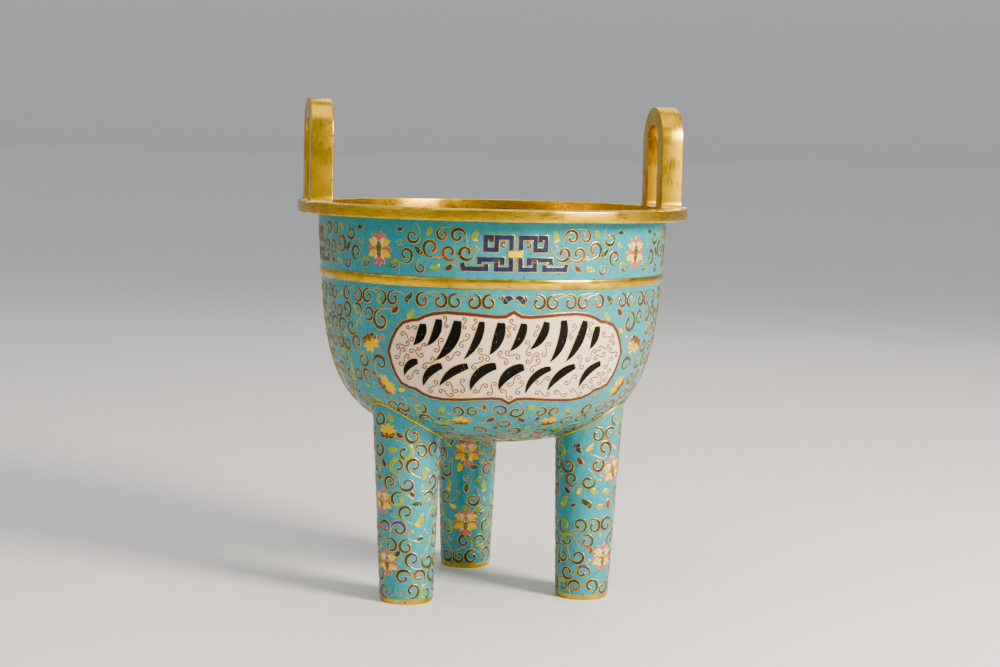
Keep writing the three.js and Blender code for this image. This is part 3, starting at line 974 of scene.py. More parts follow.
def inlay_tree(materials):
    """Sets motifs at points of an unrolled surface, rolls them up and gives each cell its enamel. A point's y
    is its run up the surface's profile, and its azimuth attribute the way that it faces from the axis."""
    tree, given = new_tree("Inlay", (("Motifs", "Collection"), ("Profile", "Object"), ("Foot", "Vector"),
                                     ("Lean", "Vector"), ("Wires", "Bool")))

    def named(name, kind):
        return node(tree, "GeometryNodeInputNamedAttribute", {"Name": name}, data_type=kind)

    library = node(tree, "GeometryNodeCollectionInfo", {"Collection": given["Motifs"],
                                                        "Separate Children": True, "Reset Children": True})
    upright_turn = node(tree, "ShaderNodeCombineXYZ", {"Z": named("turn", "FLOAT")})
    turn = node(tree, "FunctionNodeEulerToRotation", {0: upright_turn})
    grow = named("size", "FLOAT")
    even = node(tree, "ShaderNodeCombineXYZ", {"X": grow, "Y": grow, "Z": 1.0})
    set_down = node(tree, "GeometryNodeInstanceOnPoints",
                    {"Points": given["Geometry"], "Instance": library, "Pick Instance": True,
                     "Instance Index": named("motif", "INT"), "Rotation": turn, "Scale": even})
    flat = node(tree, "GeometryNodeRealizeInstances", {"Geometry": set_down})
    at = node(tree, "ShaderNodeSeparateXYZ", {0: node(tree, "GeometryNodeInputPosition")})
    profile = node(tree, "GeometryNodeObjectInfo", {"Object": given["Profile"]})
    read = node(tree, "GeometryNodeSampleCurve", {"Curves": profile.outputs["Geometry"],
                                                  "Length": at.outputs["Y"]}, mode="LENGTH")
    ground = node(tree, "ShaderNodeSeparateXYZ", {0: read.outputs["Position"]})
    along = node(tree, "ShaderNodeSeparateXYZ", {0: read.outputs["Tangent"]})
    radius = node(tree, "ShaderNodeMath", {0: at.outputs["Z"], 1: along.outputs["Z"], 2: ground.outputs["X"]},
                  operation="MULTIPLY_ADD")
    down = node(tree, "ShaderNodeMath", {0: at.outputs["Z"], 1: along.outputs["X"]}, operation="MULTIPLY")
    height = node(tree, "ShaderNodeMath", {0: ground.outputs["Z"], 1: down}, operation="SUBTRACT")
    sideways = node(tree, "ShaderNodeMath", {0: at.outputs["X"], 1: ground.outputs["X"]}, operation="DIVIDE")
    angle = node(tree, "ShaderNodeMath", {0: sideways, 1: named("azimuth", "FLOAT")}, operation="ADD")
    rolled = round_axis(tree, radius, angle, height)
    foot = node(tree, "ShaderNodeSeparateXYZ", {0: given["Foot"]})
    above = node(tree, "ShaderNodeMath", {0: height, 1: foot.outputs["Z"]}, operation="SUBTRACT")
    lean = node(tree, "ShaderNodeVectorMath", {0: given["Lean"], "Scale": above}, operation="SCALE")
    stand = node(tree, "ShaderNodeCombineXYZ", {"X": foot.outputs["X"], "Y": foot.outputs["Y"]})
    leaning = node(tree, "ShaderNodeVectorMath", {0: rolled, 1: lean}, operation="ADD")
    placed = node(tree, "ShaderNodeVectorMath", {0: leaning, 1: stand}, operation="ADD")
    laid = node(tree, "GeometryNodeSetPosition", {"Geometry": flat, "Position": placed})
    fill = named("fill", "INT")
    is_wire = node(tree, "FunctionNodeCompare", {2: fill, 3: DULL_WIRE}, data_type="INT",
                   operation="LESS_EQUAL")
    unwanted = node(tree, "FunctionNodeBooleanMath", {0: is_wire, 1: given["Wires"]}, operation="XOR")
    kept = node(tree, "GeometryNodeDeleteGeometry", {"Geometry": laid, "Selection": unwanted}, domain="FACE")
    final = fill
    for own, label in ((OWN, "tint"), (OWN_END, "end_tint")):
        is_own = node(tree, "FunctionNodeCompare", {2: fill, 3: own}, data_type="INT", operation="EQUAL")
        final = node(tree, "GeometryNodeSwitch", {"Switch": is_own, "False": final,
                                                  "True": named(label, "INT")}, input_type="INT")
    dressing = [(material, node(tree, "FunctionNodeCompare", {2: final, 3: kind}, data_type="INT",
                                operation="EQUAL")) for kind, material in enumerate(materials)]
    return finish_tree(tree, kept, dressing)


def angle_between(azimuth, other):
    """How far an azimuth lies past another one, by half a turn at most to either side."""
    return (azimuth - other + math.pi) % (2 * math.pi) - math.pi


class Layout:
    """Where motifs stand on one unrolled surface, whose radius is given for each run up its profile."""

    def __init__(self, radius_at, front):
        self.radius_at, self.front = radius_at, front
        self.places = []

    def put(self, motif, azimuth, run, turn=0.0, fills=(YELLOW, YELLOW), size=1.0, reach=4.9):
        """Sets a motif at an azimuth and a run, with its turn in degrees and its reach in millimetres."""
        self.places.append({"motif": motif, "azimuth": azimuth, "run": run, "size": size,
                            "turn": math.radians(turn), "tint": fills[0], "end_tint": fills[1],
                            "reach": reach * MM * size})

    def pair(self, motif, across, run, turn=0.0, fills=(BROWN, BROWN), size=1.0, reach=4.9):
        """Sets a motif and its mirror image, across to each side of the front. Lengths are in millimetres."""
        angle = across * MM / self.radius_at(run * MM)
        self.put(motif, self.front + angle, run * MM, turn, fills, size, reach)
        self.put(MIRROR.get(motif, motif), self.front - angle, run * MM, -turn, fills, size, reach)

    def copy_round(self, count):
        """Repeats what is set so far, evenly round the axis."""
        first = list(self.places)
        for k in range(1, count):
            self.places += [{**place, "azimuth": place["azimuth"] + 2 * math.pi * k / count}
                            for place in first]

    def clear_of(self, azimuth, run, reach):
        """Whether a new motif of that reach would stay clear of what is set."""
        radius = self.radius_at(run)
        return all(math.hypot(angle_between(azimuth, place["azimuth"]) * radius, run - place["run"])
                   >= reach + place["reach"] for place in self.places)

    def spread(self, motif, fills, runs, pitch, reach, chance, allowed, sizes, slack):
        """Rows of a motif of either hand at each run, every other row shifted by half a step, where there is
        room. Pitch and reach are in millimetres."""
        for row, run in enumerate(runs):
            count = max(3, round(2 * math.pi * self.radius_at(run) / (pitch * MM)))
            for k in range(count):
                step = k + 0.5 * (row % 2) + chance.uniform(-0.09, 0.09)
                azimuth = self.front + 2 * math.pi * step / count
                height = run + chance.uniform(-0.07, 0.07) * pitch * MM
                size = chance.uniform(*sizes)
                turn = chance.choice(range(0, 360, 45)) + chance.uniform(-12, 12)
                kind, pair = chance.choice((motif, MIRROR[motif])), chance.choice(fills)
                room = reach * size * MM
                if allowed(azimuth, height, room) and self.clear_of(azimuth, height, room * slack):
                    self.put(kind, azimuth, height, turn, pair, size, reach)

    def fill_up(self, runs, chance, allowed, pitch=9.7):
        """Scrolls wherever there is room, then buds, then curls of wire in what is left."""
        low, high = runs
        for motif, fills, share, reach, sizes, slack in (
                ("scroll", SCROLL_FILLS, 1.0, 4.6, (0.92, 1.10), 0.88),
                ("bud", BUD_FILLS, 0.95, 2.8, (0.8, 1.15), 0.72),
                ("sprig", PLAIN_FILLS, 0.55, 3.0, (0.8, 1.1), 0.95)):
            count = round((high - low) / (pitch * share * MM)) + 1
            rows = [high - pitch * share * MM * i for i in range(count)]
            self.spread(motif, fills, rows, pitch * share, reach, chance, allowed, sizes, slack)

    def points(self, names):
        """The layout as loose points with what the inlay tree reads."""
        mesh = bpy.data.meshes.new("places")
        mesh.from_pydata([(0.0, place["run"], 0.0) for place in self.places], [], [])
        columns = {label: [place[label] for place in self.places]
                   for label in ("azimuth", "size", "turn", "tint", "end_tint")}
        columns["motif"] = [names.index(place["motif"]) for place in self.places]
        for label, values in columns.items():
            kind = "FLOAT" if label in ("azimuth", "size", "turn") else "INT"
            mesh.attributes.new(label, kind, "POINT").data.foreach_set("value", values)
        return mesh


def inlay(name, layout, motifs, tree, profile, foot=(0.0, 0.0, 0.0), lean=(0.0, 0.0, 0.0)):
    """Makes the cells and the wires of a layout as two pieces."""
    names = sorted(motif.name for motif in motifs.objects)
    holder = bpy.data.objects.new(name + "_profile", profile_curve(name + "_profile", profile))
    for part, wires, slot in (("cells", False, "enamel"), ("wires", True, "gilt")):
        values = {"Motifs": motifs, "Profile": holder, "Foot": foot, "Lean": lean, "Wires": wires}
        shown(name + "_" + part, grown(name + "_" + part, layout.points(names), tree, values))
    bpy.data.objects.remove(holder)


# What stands to the right of each knot on the neck: motif, place across and height in millimetres, turn in
# degrees, enamels and size. The left side mirrors it.
NECK_MARKS = (
    ("leaf", 23.6, 223.2, 40, (LEAF_GREEN, YELLOW), 0.66), ("scroll", 32.6, 222.6, 150, (BROWN, BROWN), 0.98),
    ("scroll_back", 27.6, 213.6, 60, (BROWN, BROWN), 1.0),
    ("scroll_back", 37.2, 213.2, 80, (ORANGE, BRICK), 1.02),
    ("scroll_back", 48.2, 215.2, 110, (DARK_GREEN, ORANGE), 1.15),
    ("scroll", 41.6, 223.8, 60, (BROWN, ORANGE), 0.82), ("bud", 49.6, 225.0, 40, (LEAF_GREEN, YELLOW), 0.9),
    ("leaf", 56.4, 213.4, -20, (DARK_GREEN, BROWN), 0.66),
    ("scroll_back", 59.6, 222.2, 20, (BROWN, DARK_GREEN), 0.92),
    ("scroll", 64.4, 210.6, 250, (DARK_GREEN, BRICK), 1.0), ("bud", 37.6, 204.8, 60, (BRICK, BRICK), 1.0),
    ("leaf", 45.8, 204.4, -70, (LEAF_GREEN, YELLOW), 0.60),
    ("scroll", 54.8, 204.6, 20, (PURPLE, BRICK), 0.72),
    ("scroll", 71.6, 204.8, 160, (LEAF_GREEN, DARK_GREEN), 0.74),
    ("bud", 68.4, 225.4, 100, (DARK_GREEN, BROWN), 0.9), ("sprig", 68.6, 217.6, 80, (BROWN, BROWN), 1.0),
    ("sprig", 33.2, 206.6, 0, (BROWN, BROWN), 0.9), ("sprig", 23.6, 216.6, 200, (BROWN, BROWN), 0.9),
    ("sprig", 44.0, 210.4, 30, (BROWN, BROWN), 0.8))
KNOTS = 4
KNOT_HEIGHT, LOTUS_HEIGHT = 213.0, 213.4  # in millimetres, as in the table


def neck_layout(outline):
    """Four knots round the neck with a lotus halfway between them, and scrolls in between."""
    layout = Layout(radius_along(outline), FRONT)
    neck = run_at(outline, BAND_HIGH.z) / MM - BAND_HIGH.z / MM  # from a height on the neck to its run
    layout.put("knot", FRONT, (KNOT_HEIGHT + neck) * MM)
    for motif, across, height, turn, fills, size in NECK_MARKS:
        layout.pair(motif, across, height + neck, turn, fills, size)
    layout.put("lotus", FRONT + math.pi / KNOTS, (LOTUS_HEIGHT + neck) * MM, size=1.02)
    layout.copy_round(KNOTS)
    return layout


CARTOUCHE_RUN = 130.2 * MM
CARTOUCHE_REACH = 90 * MM  # beyond this, to either side, nothing is near the cartouche
PANEL_ROOM = 0.9 * MM  # room between a motif and the cartouche
SCROLL_TOP = 161.6 * MM  # highest and lowest row of scrolls on the belly
SCROLL_LOW = 22 * MM
# What stands beside and below the cartouche: motif, place across and run in millimetres, turn in degrees,
# enamels, size and the reach that is kept clear.
BELLY_MARKS = (
    ("scroll", 80.6, 148.6, 60, (DARK_GREEN, BRICK), 1.35, 4.9),
    ("bud", 70.5, 154.6, 60, (BRICK, BRICK), 1.15, 3.2),
    ("leaf", 60.6, 152.8, 60, (LEAF_GREEN, YELLOW), 0.66, 4.2),
    ("half_lotus", 90.0, 136.0, 160, (YELLOW, YELLOW), 1.0, 7.6),
    ("bud", 79.6, 137.6, 30, (PINK, PINK), 0.9, 3.0),
    ("half_lotus", 78.0, 107.0, 60, (YELLOW, YELLOW), 1.0, 7.6),
    ("half_lotus", 26.0, 83.0, 0, (YELLOW, YELLOW), 0.74, 6.0),
    ("scroll", 19.4, 93.4, 90, (DARK_GREEN, BROWN), 0.86, 4.6),
    ("scroll", 29.2, 93.2, 260, (BROWN, BRICK), 0.86, 4.6),
    ("leaf", 38.8, 93.0, 60, (LEAF_GREEN, DARK_GREEN), 0.66, 4.4),
    ("bud", 9.0, 86.4, 60, (BRICK, BRICK), 1.2, 3.2),
    ("scroll_back", 81.6, 121.8, 200, (BROWN, DARK_GREEN), 1.1, 4.9))
TOP_ROW_START, TOP_ROW_PITCH = 13.6, 9.7  # place of the first scroll under the band, and step, in millimetres
# The enamels of that row, from the middle outwards. A leaf stands in place of None.
TOP_ROW = ((BROWN, BROWN), (BROWN, BROWN), (DARK_GREEN, BROWN), (BROWN, BRICK), (BROWN, ORANGE), None,
           (PURPLE, BRICK), (DARK_GREEN, LEAF_GREEN), (BROWN, BROWN), (BRICK, ORANGE), (BROWN, DARK_GREEN))
# The rows of lotuses on the back: run in millimetres, and shift in radians.
BACK_ROWS = ((140.0, 0.0), (108.0, 0.235))
BACK_STEP = 0.47  # radians from one lotus to the next


def belly_layout(outline):
    """The cartouche in front, a row of scrolls under the band, and lotuses among scrolls elsewhere."""
    radius_at = radius_along(outline)
    layout = Layout(radius_at, FRONT)
    panel = cartouche_outline()
    layout.pair("twin_leaf", 5.0, SCROLL_TOP / MM, 10, (VIOLET, VIOLET), reach=4.2)
    for k, fills in enumerate(TOP_ROW):
        motif, turn = ("scroll_back", 300) if k % 2 else ("scroll", 80)
        if fills:
            layout.pair(motif, TOP_ROW_START + TOP_ROW_PITCH * k, SCROLL_TOP / MM, turn, fills, 0.98)
    layout.pair("leaf", 62.0, 162.6, 70, (DARK_GREEN, BROWN), 0.7, 4.4)
    for mark in BELLY_MARKS:
        layout.pair(*mark)
    for run, shift in BACK_ROWS:
        for k in range(-3, 4):
            layout.put("lotus" if k % 2 else "half_lotus", FRONT + math.pi + k * BACK_STEP + shift,
                       run * MM, size=1.05, reach=9.4)

    def allowed(azimuth, run, reach):
        point = Vector((angle_between(azimuth, FRONT) * radius_at(run), run - CARTOUCHE_RUN))
        if abs(point.x) > CARTOUCHE_REACH:
            return True
        return not inside(panel, point, 0) and min((p - point).length for p in panel) > reach + PANEL_ROOM

    layout.fill_up((SCROLL_LOW, SCROLL_TOP), random.Random(BELLY_SEED), allowed)
    layout.put("cartouche", FRONT, CARTOUCHE_RUN)
    return layout


# Lotuses and leaves on each leg: motif, degrees round the leg from the camera's side, height in millimetres,
# turn in degrees, enamels, size and the reach that is kept clear.
SUN, GREEN, DARK = (YELLOW, YELLOW), (LEAF_GREEN, YELLOW), (DARK_GREEN, BROWN)
LEG_MARKS = {
    "left": (("lotus", -40, 25, 0, SUN, 0.85, 7.8), ("half_lotus", -34, 103, 0, SUN, 0.85, 6.4),
             ("leaf", 36, 80, 180, GREEN, 0.78, 5.0), ("leaf", 30, 51, 0, GREEN, 0.85, 5.0),
             ("leaf", 22, 62, 120, DARK, 0.66, 4.6), ("lotus", -50, 62, 0, SUN, 0.85, 7.8),
             ("lotus", 120, 45, 0, SUN, 0.85, 7.8), ("lotus", 170, 85, 0, SUN, 0.85, 7.8)),
    "right": (("lotus", 52, 79.5, 20, SUN, 0.9, 7.8), ("lotus", 42, 26, 0, SUN, 0.9, 7.8),
              ("twin_leaf", -19, 95.5, 150, SUN, 0.95, 4.6), ("leaf", 1, 60.5, 80, DARK, 0.8, 5.2),
              ("leaf", -46, 60, 0, GREEN, 0.75, 5.2), ("bud", 46, 59, 20, (ORANGE, BRICK), 1.2, 3.2),
              ("lotus", -120, 50, 0, SUN, 0.85, 7.8), ("lotus", 170, 85, 0, SUN, 0.85, 7.8)),
    "back": (("lotus", 0, 76, 0, SUN, 0.95, 8.0), ("lotus", 0, 30, 0, SUN, 0.95, 8.0),
             ("bud", 0, 53, 0, DARK, 1.2, 3.4), ("lotus", 180, 60, 0, SUN, 0.9, 8.0),
             ("leaf", 40, 54, 40, GREEN, 0.75, 5.2), ("leaf_back", -40, 54, -40, GREEN, 0.75, 5.2)),
}
LEG_RUNS = (7.9 * MM, 112.4 * MM)  # lowest and highest row on a leg
LEG_PITCH = 9.5  # step between its scrolls, in millimetres
LEG_SIDES = (-0.2, 0.0, 0.2)  # radians from a motif's middle at which the room above it is measured
FOOT_OVERLAP = 0.9 * MM  # how far a motif's reach may go past the top of the foot


def leg_layout(azimuth, outline, marks, seed):
    """Scrolls up and round a leg, between the lotuses and leaves that are given."""
    layout = Layout(leg_radius, -bpy.context.scene.burner_stage.swing)
    for motif, place, height, turn, fills, size, reach in marks:
        layout.put(motif, layout.front + math.radians(place), height * MM, turn, fills, size, reach)

    def allowed(turn, run, reach):
        top = min(leg_top(azimuth, turn + shift, outline) for shift in LEG_SIDES)
        return run - reach > CAP_HIGH.z - FOOT_OVERLAP and run + reach < top - LEG_TOP_MARGIN

    layout.fill_up(LEG_RUNS, random.Random(seed), allowed, LEG_PITCH)
    return layout


class BURNER_OT_inlay(bpy.types.Operator):
    """Lays the enamel cells and the wires between them on the bowl, the neck and the legs"""
    bl_idname = "burner.inlay"
    bl_label = "Enamel cells and wires"

    def execute(self, context):
        outline = vessel_outline()
        motifs = motif_collection()
        tree = inlay_tree(fill_materials())
        inlay("neck", neck_layout(outline), motifs, tree, outline)
        inlay("belly", belly_layout(outline), motifs, tree, outline)
        for seed, (place, azimuth) in enumerate(LEG_PLACES.items()):
            layout = leg_layout(azimuth, outline, LEG_MARKS[place], LEG_SEED + seed)
            profile = [(leg_radius(height), height) for height in (0.0, BAND_LOW.z)]
            lean = tuple(at_azimuth(azimuth, 1.0) * context.scene.burner_vessel.leg_splay)
            inlay("leg_" + place, layout, motifs, tree, profile, tuple(leg_axis(azimuth, CAP_HIGH.z)), lean)
        for motif in list(motifs.objects):
            bpy.data.objects.remove(motif)
        bpy.data.collections.remove(motifs)
        return {"FINISHED"}


# The main pieces.

SOFT_EDGE, HARD_EDGE = 40, 50  # bends in degrees above which an enamelled and a gilt edge look crisp
BOWL_STEPS = 288
RING_STEPS = 256
FOOT_STEPS = 96
LEG_STEPS = 96
LEG_ROWS = 24
JUNCTION_STEPS = 144
JUNCTION_OUT, JUNCTION_DROP = 0.5, 0.3  # how far that wire lies off the leg and below the seam, in its radii
HALVINGS = 30  # enough to find a height to less than a nanometre
ARCH_STEPS = 48
UPRIGHT_STEPS = 14
FLARE_STEPS = 6
CORNER_STEPS = 4


def at_azimuth(azimuth, radius, height=0.0):
    """The point at a radius from the upright axis, on the side that an azimuth from the front gives."""
    return Vector((radius * math.sin(azimuth), -radius * math.cos(azimuth), height))


def quads(rows, columns, closed=False):
    """Faces between rows of points that each go once round, and from the last row to the first if closed."""
    faces = []
    for i in range(rows if closed else rows - 1):
        below, above = i * columns, (i + 1) % rows * columns
        for j in range(columns):
            k = (j + 1) % columns
            faces.append((below + j, below + k, above + k, above + j))
    return faces


def closed_wire(name, path, tree, radius, sides, material):
    """Sweeps a closed wire along a path, as a gilt piece."""
    curve = path_curve(name + "_path", path, cyclic=True)
    shown(name, grown(name, curve, tree, {"Radius": radius, "Sides": sides, "Material": material}))


class BURNER_OT_vessel(bpy.types.Operator):
    """Makes the bowl with its neck, enamelled outside and gilt inside"""
    bl_idname = "burner.vessel"
    bl_label = "Bowl and neck"

    def execute(self, context):
        inner = vessel_outline(-context.scene.burner_vessel.wall)[::-1]
        mesh = turned("bowl", vessel_outline() + inner, BOWL_STEPS, enamel_of("turquoise"))
        mesh.materials.append(material_once("fire_gilt_lining", fire_gilt, round_streaks, roughness=0.42))
        middle = Vector((0.0, 0.0, BAND_LOW.z))
        lining = [int(face.normal.dot(face.center - middle) < 0) for face in mesh.polygons]
        mesh.polygons.foreach_set("material_index", lining)
        shown("bowl_body", mesh, ["bowl"], SOFT_EDGE)
        return {"FINISHED"}


def rounded(corner, before, after, radius):
    """Points that round a corner of an outline between its two neighbours."""
    corner, before, after = Vector(corner), Vector(before), Vector(after)
    start = corner + (before - corner).normalized() * radius
    end = corner + (after - corner).normalized() * radius
    shares = [i / CORNER_STEPS for i in range(CORNER_STEPS + 1)]
    return [tuple(start.lerp(corner, t).lerp(corner.lerp(end, t), t)) for t in shares]


def rim_profile():
    """The rim's section, closed, upwards on its outer side."""
    sizes, vessel = bpy.context.scene.burner_gilt, bpy.context.scene.burner_vessel
    mouth = BOWL_HIGH.x - vessel.wall - sizes.rim_lip
    low, high, outer = RIM_LOW.z, RIM_HIGH.z, RIM_HIGH.x
    corners = [(mouth, low), (outer, low), (outer, high), (mouth, high)]
    points = [corners[0]]
    for i, radius in ((1, sizes.rim_round), (2, sizes.rim_round), (3, sizes.mouth_round)):
        points += rounded(corners[i], corners[i - 1], corners[(i + 1) % 4], radius)
    return points + [corners[0]]


def band_profile():
    """The band's section: its back lies on the wall, and its front is half an ellipse."""
    vessel = bpy.context.scene.burner_vessel
    bulge = BAND_HIGH.x - vessel.shoulder - vessel.neck_step / 2
    steps = 16
    front = []
    for i in range(steps + 1):
        angle = math.pi * i / steps
        share = (1 - math.cos(angle)) / 2
        back = vessel.shoulder + share * vessel.neck_step
        front.append((back + bulge * math.sin(angle), BAND_LOW.z + share * (BAND_HIGH.z - BAND_LOW.z)))
    return front + [front[0]]


def leg_radius(height):
    """Radius of a leg, or of its gilt foot, at a height."""
    taper = bpy.context.scene.burner_vessel.leg_taper
    return (CAP_HIGH.x - CAP_LOW.x) / 2 - taper * CAP_HIGH.z + taper * height


def cap_profile():
    """The section of a leg's gilt foot."""
    foot, top = (leg_radius(0.0), 0.0), (leg_radius(CAP_HIGH.z), CAP_HIGH.z)
    edge = rounded(foot, (0.0, 0.0), top, bpy.context.scene.burner_gilt.cap_round)
    return [(0.0, 0.0)] + edge + [top, (0.0, CAP_HIGH.z)]


def leg_axis(azimuth, height):
    """The point of a leg's axis at a height."""
    reach = LEG_CIRCLE + bpy.context.scene.burner_vessel.leg_splay * (height - CAP_HIGH.z)
    return at_azimuth(azimuth, reach, height)


def leg_point(azimuth, turn, height, inset=0.0):
    """A point on a leg's surface: its place round the leg and its height."""
    return leg_axis(azimuth, height) + at_azimuth(turn, leg_radius(height) - inset)


def leg_top(azimuth, turn, outline, inset=0.0):
    """The height at which a line up a leg's surface meets the vessel's outline."""
    low, high = CAP_HIGH.z, BAND_LOW.z
    for _ in range(HALVINGS):
        middle = (low + high) / 2
        point = leg_point(azimuth, turn, middle, inset)
        if height_over(outline, math.hypot(point.x, point.y)) > middle:
            low = middle
        else:
            high = middle
    return low


def leg_mesh(name, azimuth):
    """A leg as a closed tube whose upper end fits the bowl."""
    vessel = bpy.context.scene.burner_vessel
    outline = vessel_outline(vessel.seam)
    rows = [(0.0, i / LEG_ROWS) for i in range(LEG_ROWS + 1)]
    rows += [(vessel.leg_wall, 1 - i / LEG_ROWS) for i in range(LEG_ROWS + 1)]
    vertices = []
    for inset, share in rows:
        for j in range(LEG_STEPS):
            turn = 2 * math.pi * j / LEG_STEPS
            top = leg_top(azimuth, turn, outline, inset)
            vertices.append(leg_point(azimuth, turn, CAP_HIGH.z + share * (top - CAP_HIGH.z), inset))
    return new_mesh(name, vertices, quads(len(rows), LEG_STEPS, closed=True))


def junction_path(azimuth, outline, radius):
    """The line where a leg meets the bowl, for the middle of a wire of that radius."""
    path = []
    for j in range(JUNCTION_STEPS):
        turn = 2 * math.pi * j / JUNCTION_STEPS
        height = leg_top(azimuth, turn, outline, -JUNCTION_OUT * radius)
        path.append(leg_point(azimuth, turn, height - JUNCTION_DROP * radius, -JUNCTION_OUT * radius))
    return path


class BURNER_OT_legs(bpy.types.Operator):
    """Makes the three legs, their gilt feet and the wires where they meet the bowl"""
    bl_idname = "burner.legs"
    bl_label = "Legs and feet"

    def execute(self, context):
        outline = vessel_outline()
        tree = wire_tree()
        radius = context.scene.burner_gilt.junction_wire / 2
        for place, azimuth in LEG_PLACES.items():
            mesh = leg_mesh("leg_" + place, azimuth)
            mesh.materials.append(enamel_of("turquoise"))
            shown("leg_column_" + place, mesh, ["leg_" + place], SOFT_EDGE)
            foot = turned("foot_" + place, cap_profile(), FOOT_STEPS, turned_gilt())
            foot.transform(Matrix.Translation(leg_axis(azimuth, CAP_HIGH.z).to_2d().to_3d()))
            shown("foot_" + place, foot, ["foot_cap_" + place], HARD_EDGE)
            path = junction_path(azimuth, outline, radius)
            closed_wire("junction_wire_" + place, path, tree, radius, 10, wire_gilt())
        return {"FINISHED"}


def strap_path():
    """Stations along a handle's strap, from foot to foot over the arch: place, height and heading."""
    sizes = bpy.context.scene.burner_gilt
    half = (HANDLE_HIGH.y - HANDLE_LOW.y) / 2 - sizes.flare_spread
    reach = half - sizes.strap / 2
    arch = HANDLE_HIGH.z - half
    foot, flare = HANDLE_LOW.z, sizes.flare_height
    heights = [foot + flare * i / FLARE_STEPS for i in range(FLARE_STEPS + 1)]
    heights += [foot + flare + (arch - foot - flare) * i / UPRIGHT_STEPS for i in range(1, UPRIGHT_STEPS + 1)]
    near = [(reach, height, math.pi / 2) for height in heights]
    angles = [math.pi * i / ARCH_STEPS for i in range(1, ARCH_STEPS)]
    over = [(reach * math.cos(angle), arch + reach * math.sin(angle), math.pi / 2 + angle)
            for angle in angles]
    far = [(-reach, height, 1.5 * math.pi) for height in heights[::-1]]
    return near + over + far


def strap_section(spread):
    """The strap's rounded section: outwards from the axis, and across its thickness. Its foot spreads to
    three sides, but not towards the mouth."""
    sizes = bpy.context.scene.burner_gilt
    half_strap, edge = sizes.strap / 2 + spread, sizes.strap_round
    section = []
    for out, thick, start in ((1, 1, 0), (-1, 1, 90), (-1, -1, 180), (1, -1, 270)):
        half_width = sizes.strap_width / 2 + (spread if out > 0 else 0.0)
        for i in range(CORNER_STEPS + 1):
            angle = math.radians(start + 90 * i / CORNER_STEPS)
            section.append((out * (half_width - edge) + edge * math.cos(angle),
                            thick * (half_strap - edge) + edge * math.sin(angle)))
    return section


def handle_mesh(name, side):
    """A handle: a rounded strap bent to a loop, spreading a little where it meets the rim. Its UV map gives
    the way along the strap and round it, in metres."""
    sizes = bpy.context.scene.burner_gilt
    stations = strap_path()
    vertices, marks = [], []
    run, before = 0.0, stations[0]
    for across, height, heading in stations:
        run += math.hypot(across - before[0], height - before[1])
        before = (across, height)
        above_foot = min(1.0, (height - HANDLE_LOW.z) / sizes.flare_height)
        section = strap_section(sizes.flare_spread * (1 - above_foot) ** 2)
        around, last = 0.0, section[0]
        for out, thick in section:
            around += math.hypot(out - last[0], thick - last[1])
            last = (out, thick)
            marks.append((run, around))
            vertices.append((out, across - thick * math.sin(heading), height + thick * math.cos(heading)))
    count, total = len(section), len(vertices)
    ends = [tuple(range(count))[::-1], tuple(range(total - count, total))]
    mesh = new_mesh(name, vertices, quads(len(stations), count) + ends)
    layer = mesh.uv_layers.new(name="strap")
    for loop in mesh.loops:
        layer.data[loop.index].uv = marks[loop.vertex_index]
    centre = Matrix.Translation((HANDLE_LOW.x + sizes.strap_width / 2, 0, 0))
    mesh.transform(Matrix.Rotation(0.0 if side > 0 else math.pi, 4, "Z") @ centre)
    return mesh


def solder_path(side, end):
    """The line round a foot of a handle where it meets the rim, for the bead of solder there."""
    sizes = bpy.context.scene.burner_gilt
    chance = random.Random(SOLDER_SEED + 2 * side + end)
    middle = strap_path()[0][0]
    # The bead runs a little inside the edge of the foot, by more on the side of the mouth, and not evenly.
    half_strap = sizes.strap / 2 + sizes.flare_spread - 0.2 * MM
    inner, outer = HANDLE_LOW.x + 1.2 * MM, HANDLE_HIGH.x - 0.3 * MM
    corners = [Vector((inner, -half_strap)), Vector((outer, -half_strap)), Vector((outer, half_strap)),
               Vector((inner, half_strap))]
    path = []
    for point in stepped(corners, 1.5 * MM, closed=True):
        x, y = point + Vector((chance.uniform(-0.2, 0.1), chance.uniform(-0.15, 0.15))) * MM
        path.append((side * x, side * (y + end * middle), RIM_HIGH.z + chance.uniform(-0.25, 0.1) * MM))
    return path


class BURNER_OT_fittings(bpy.types.Operator):
    """Makes the gilt rim, band and handles"""
    bl_idname = "burner.fittings"
    bl_label = "Rim, band and handles"

    def execute(self, context):
        tree = wire_tree()
        radius = context.scene.burner_gilt.solder_bead / 2
        for name, profile, replaced in (("rim_ring", rim_profile(), "rim"),
                                        ("band_moulding", band_profile(), "band")):
            mesh = turned(name, profile, RING_STEPS, turned_gilt())
            shown(name, mesh, [replaced], HARD_EDGE)
        for hand, side in (("right", 1), ("left", -1)):
            mesh = handle_mesh("handle_" + hand, side)
            mesh.materials.append(material_once("fire_gilt_strap", fire_gilt, strap_streaks))
            shown("handle_" + hand + "_strap", mesh, ["handle_" + hand], HARD_EDGE)
            for end, shift in (("front", -1), ("rear", 1)):
                closed_wire("solder_" + hand + "_" + end, solder_path(side, shift), tree, radius, 8,
                            material_once("soft_solder", solder))
        return {"FINISHED"}


# The stage.

FLOOR_HALF = 60.0  # half the floor's side in metres, so that its edge is far enough to merge with the sky
LIT_POINT = Vector((0, 0, 0.15))  # what the lamps aim at
LAMP_COLOUR = "#FFF1E0"
SKY_COLOUR = "#EEF0F2"
# The sky's strength when level, and how much stronger it is overhead. That way the far floor comes out as
# bright as the sky behind it.
SKY_LEVEL, SKY_GAIN = 0.40, 0.23
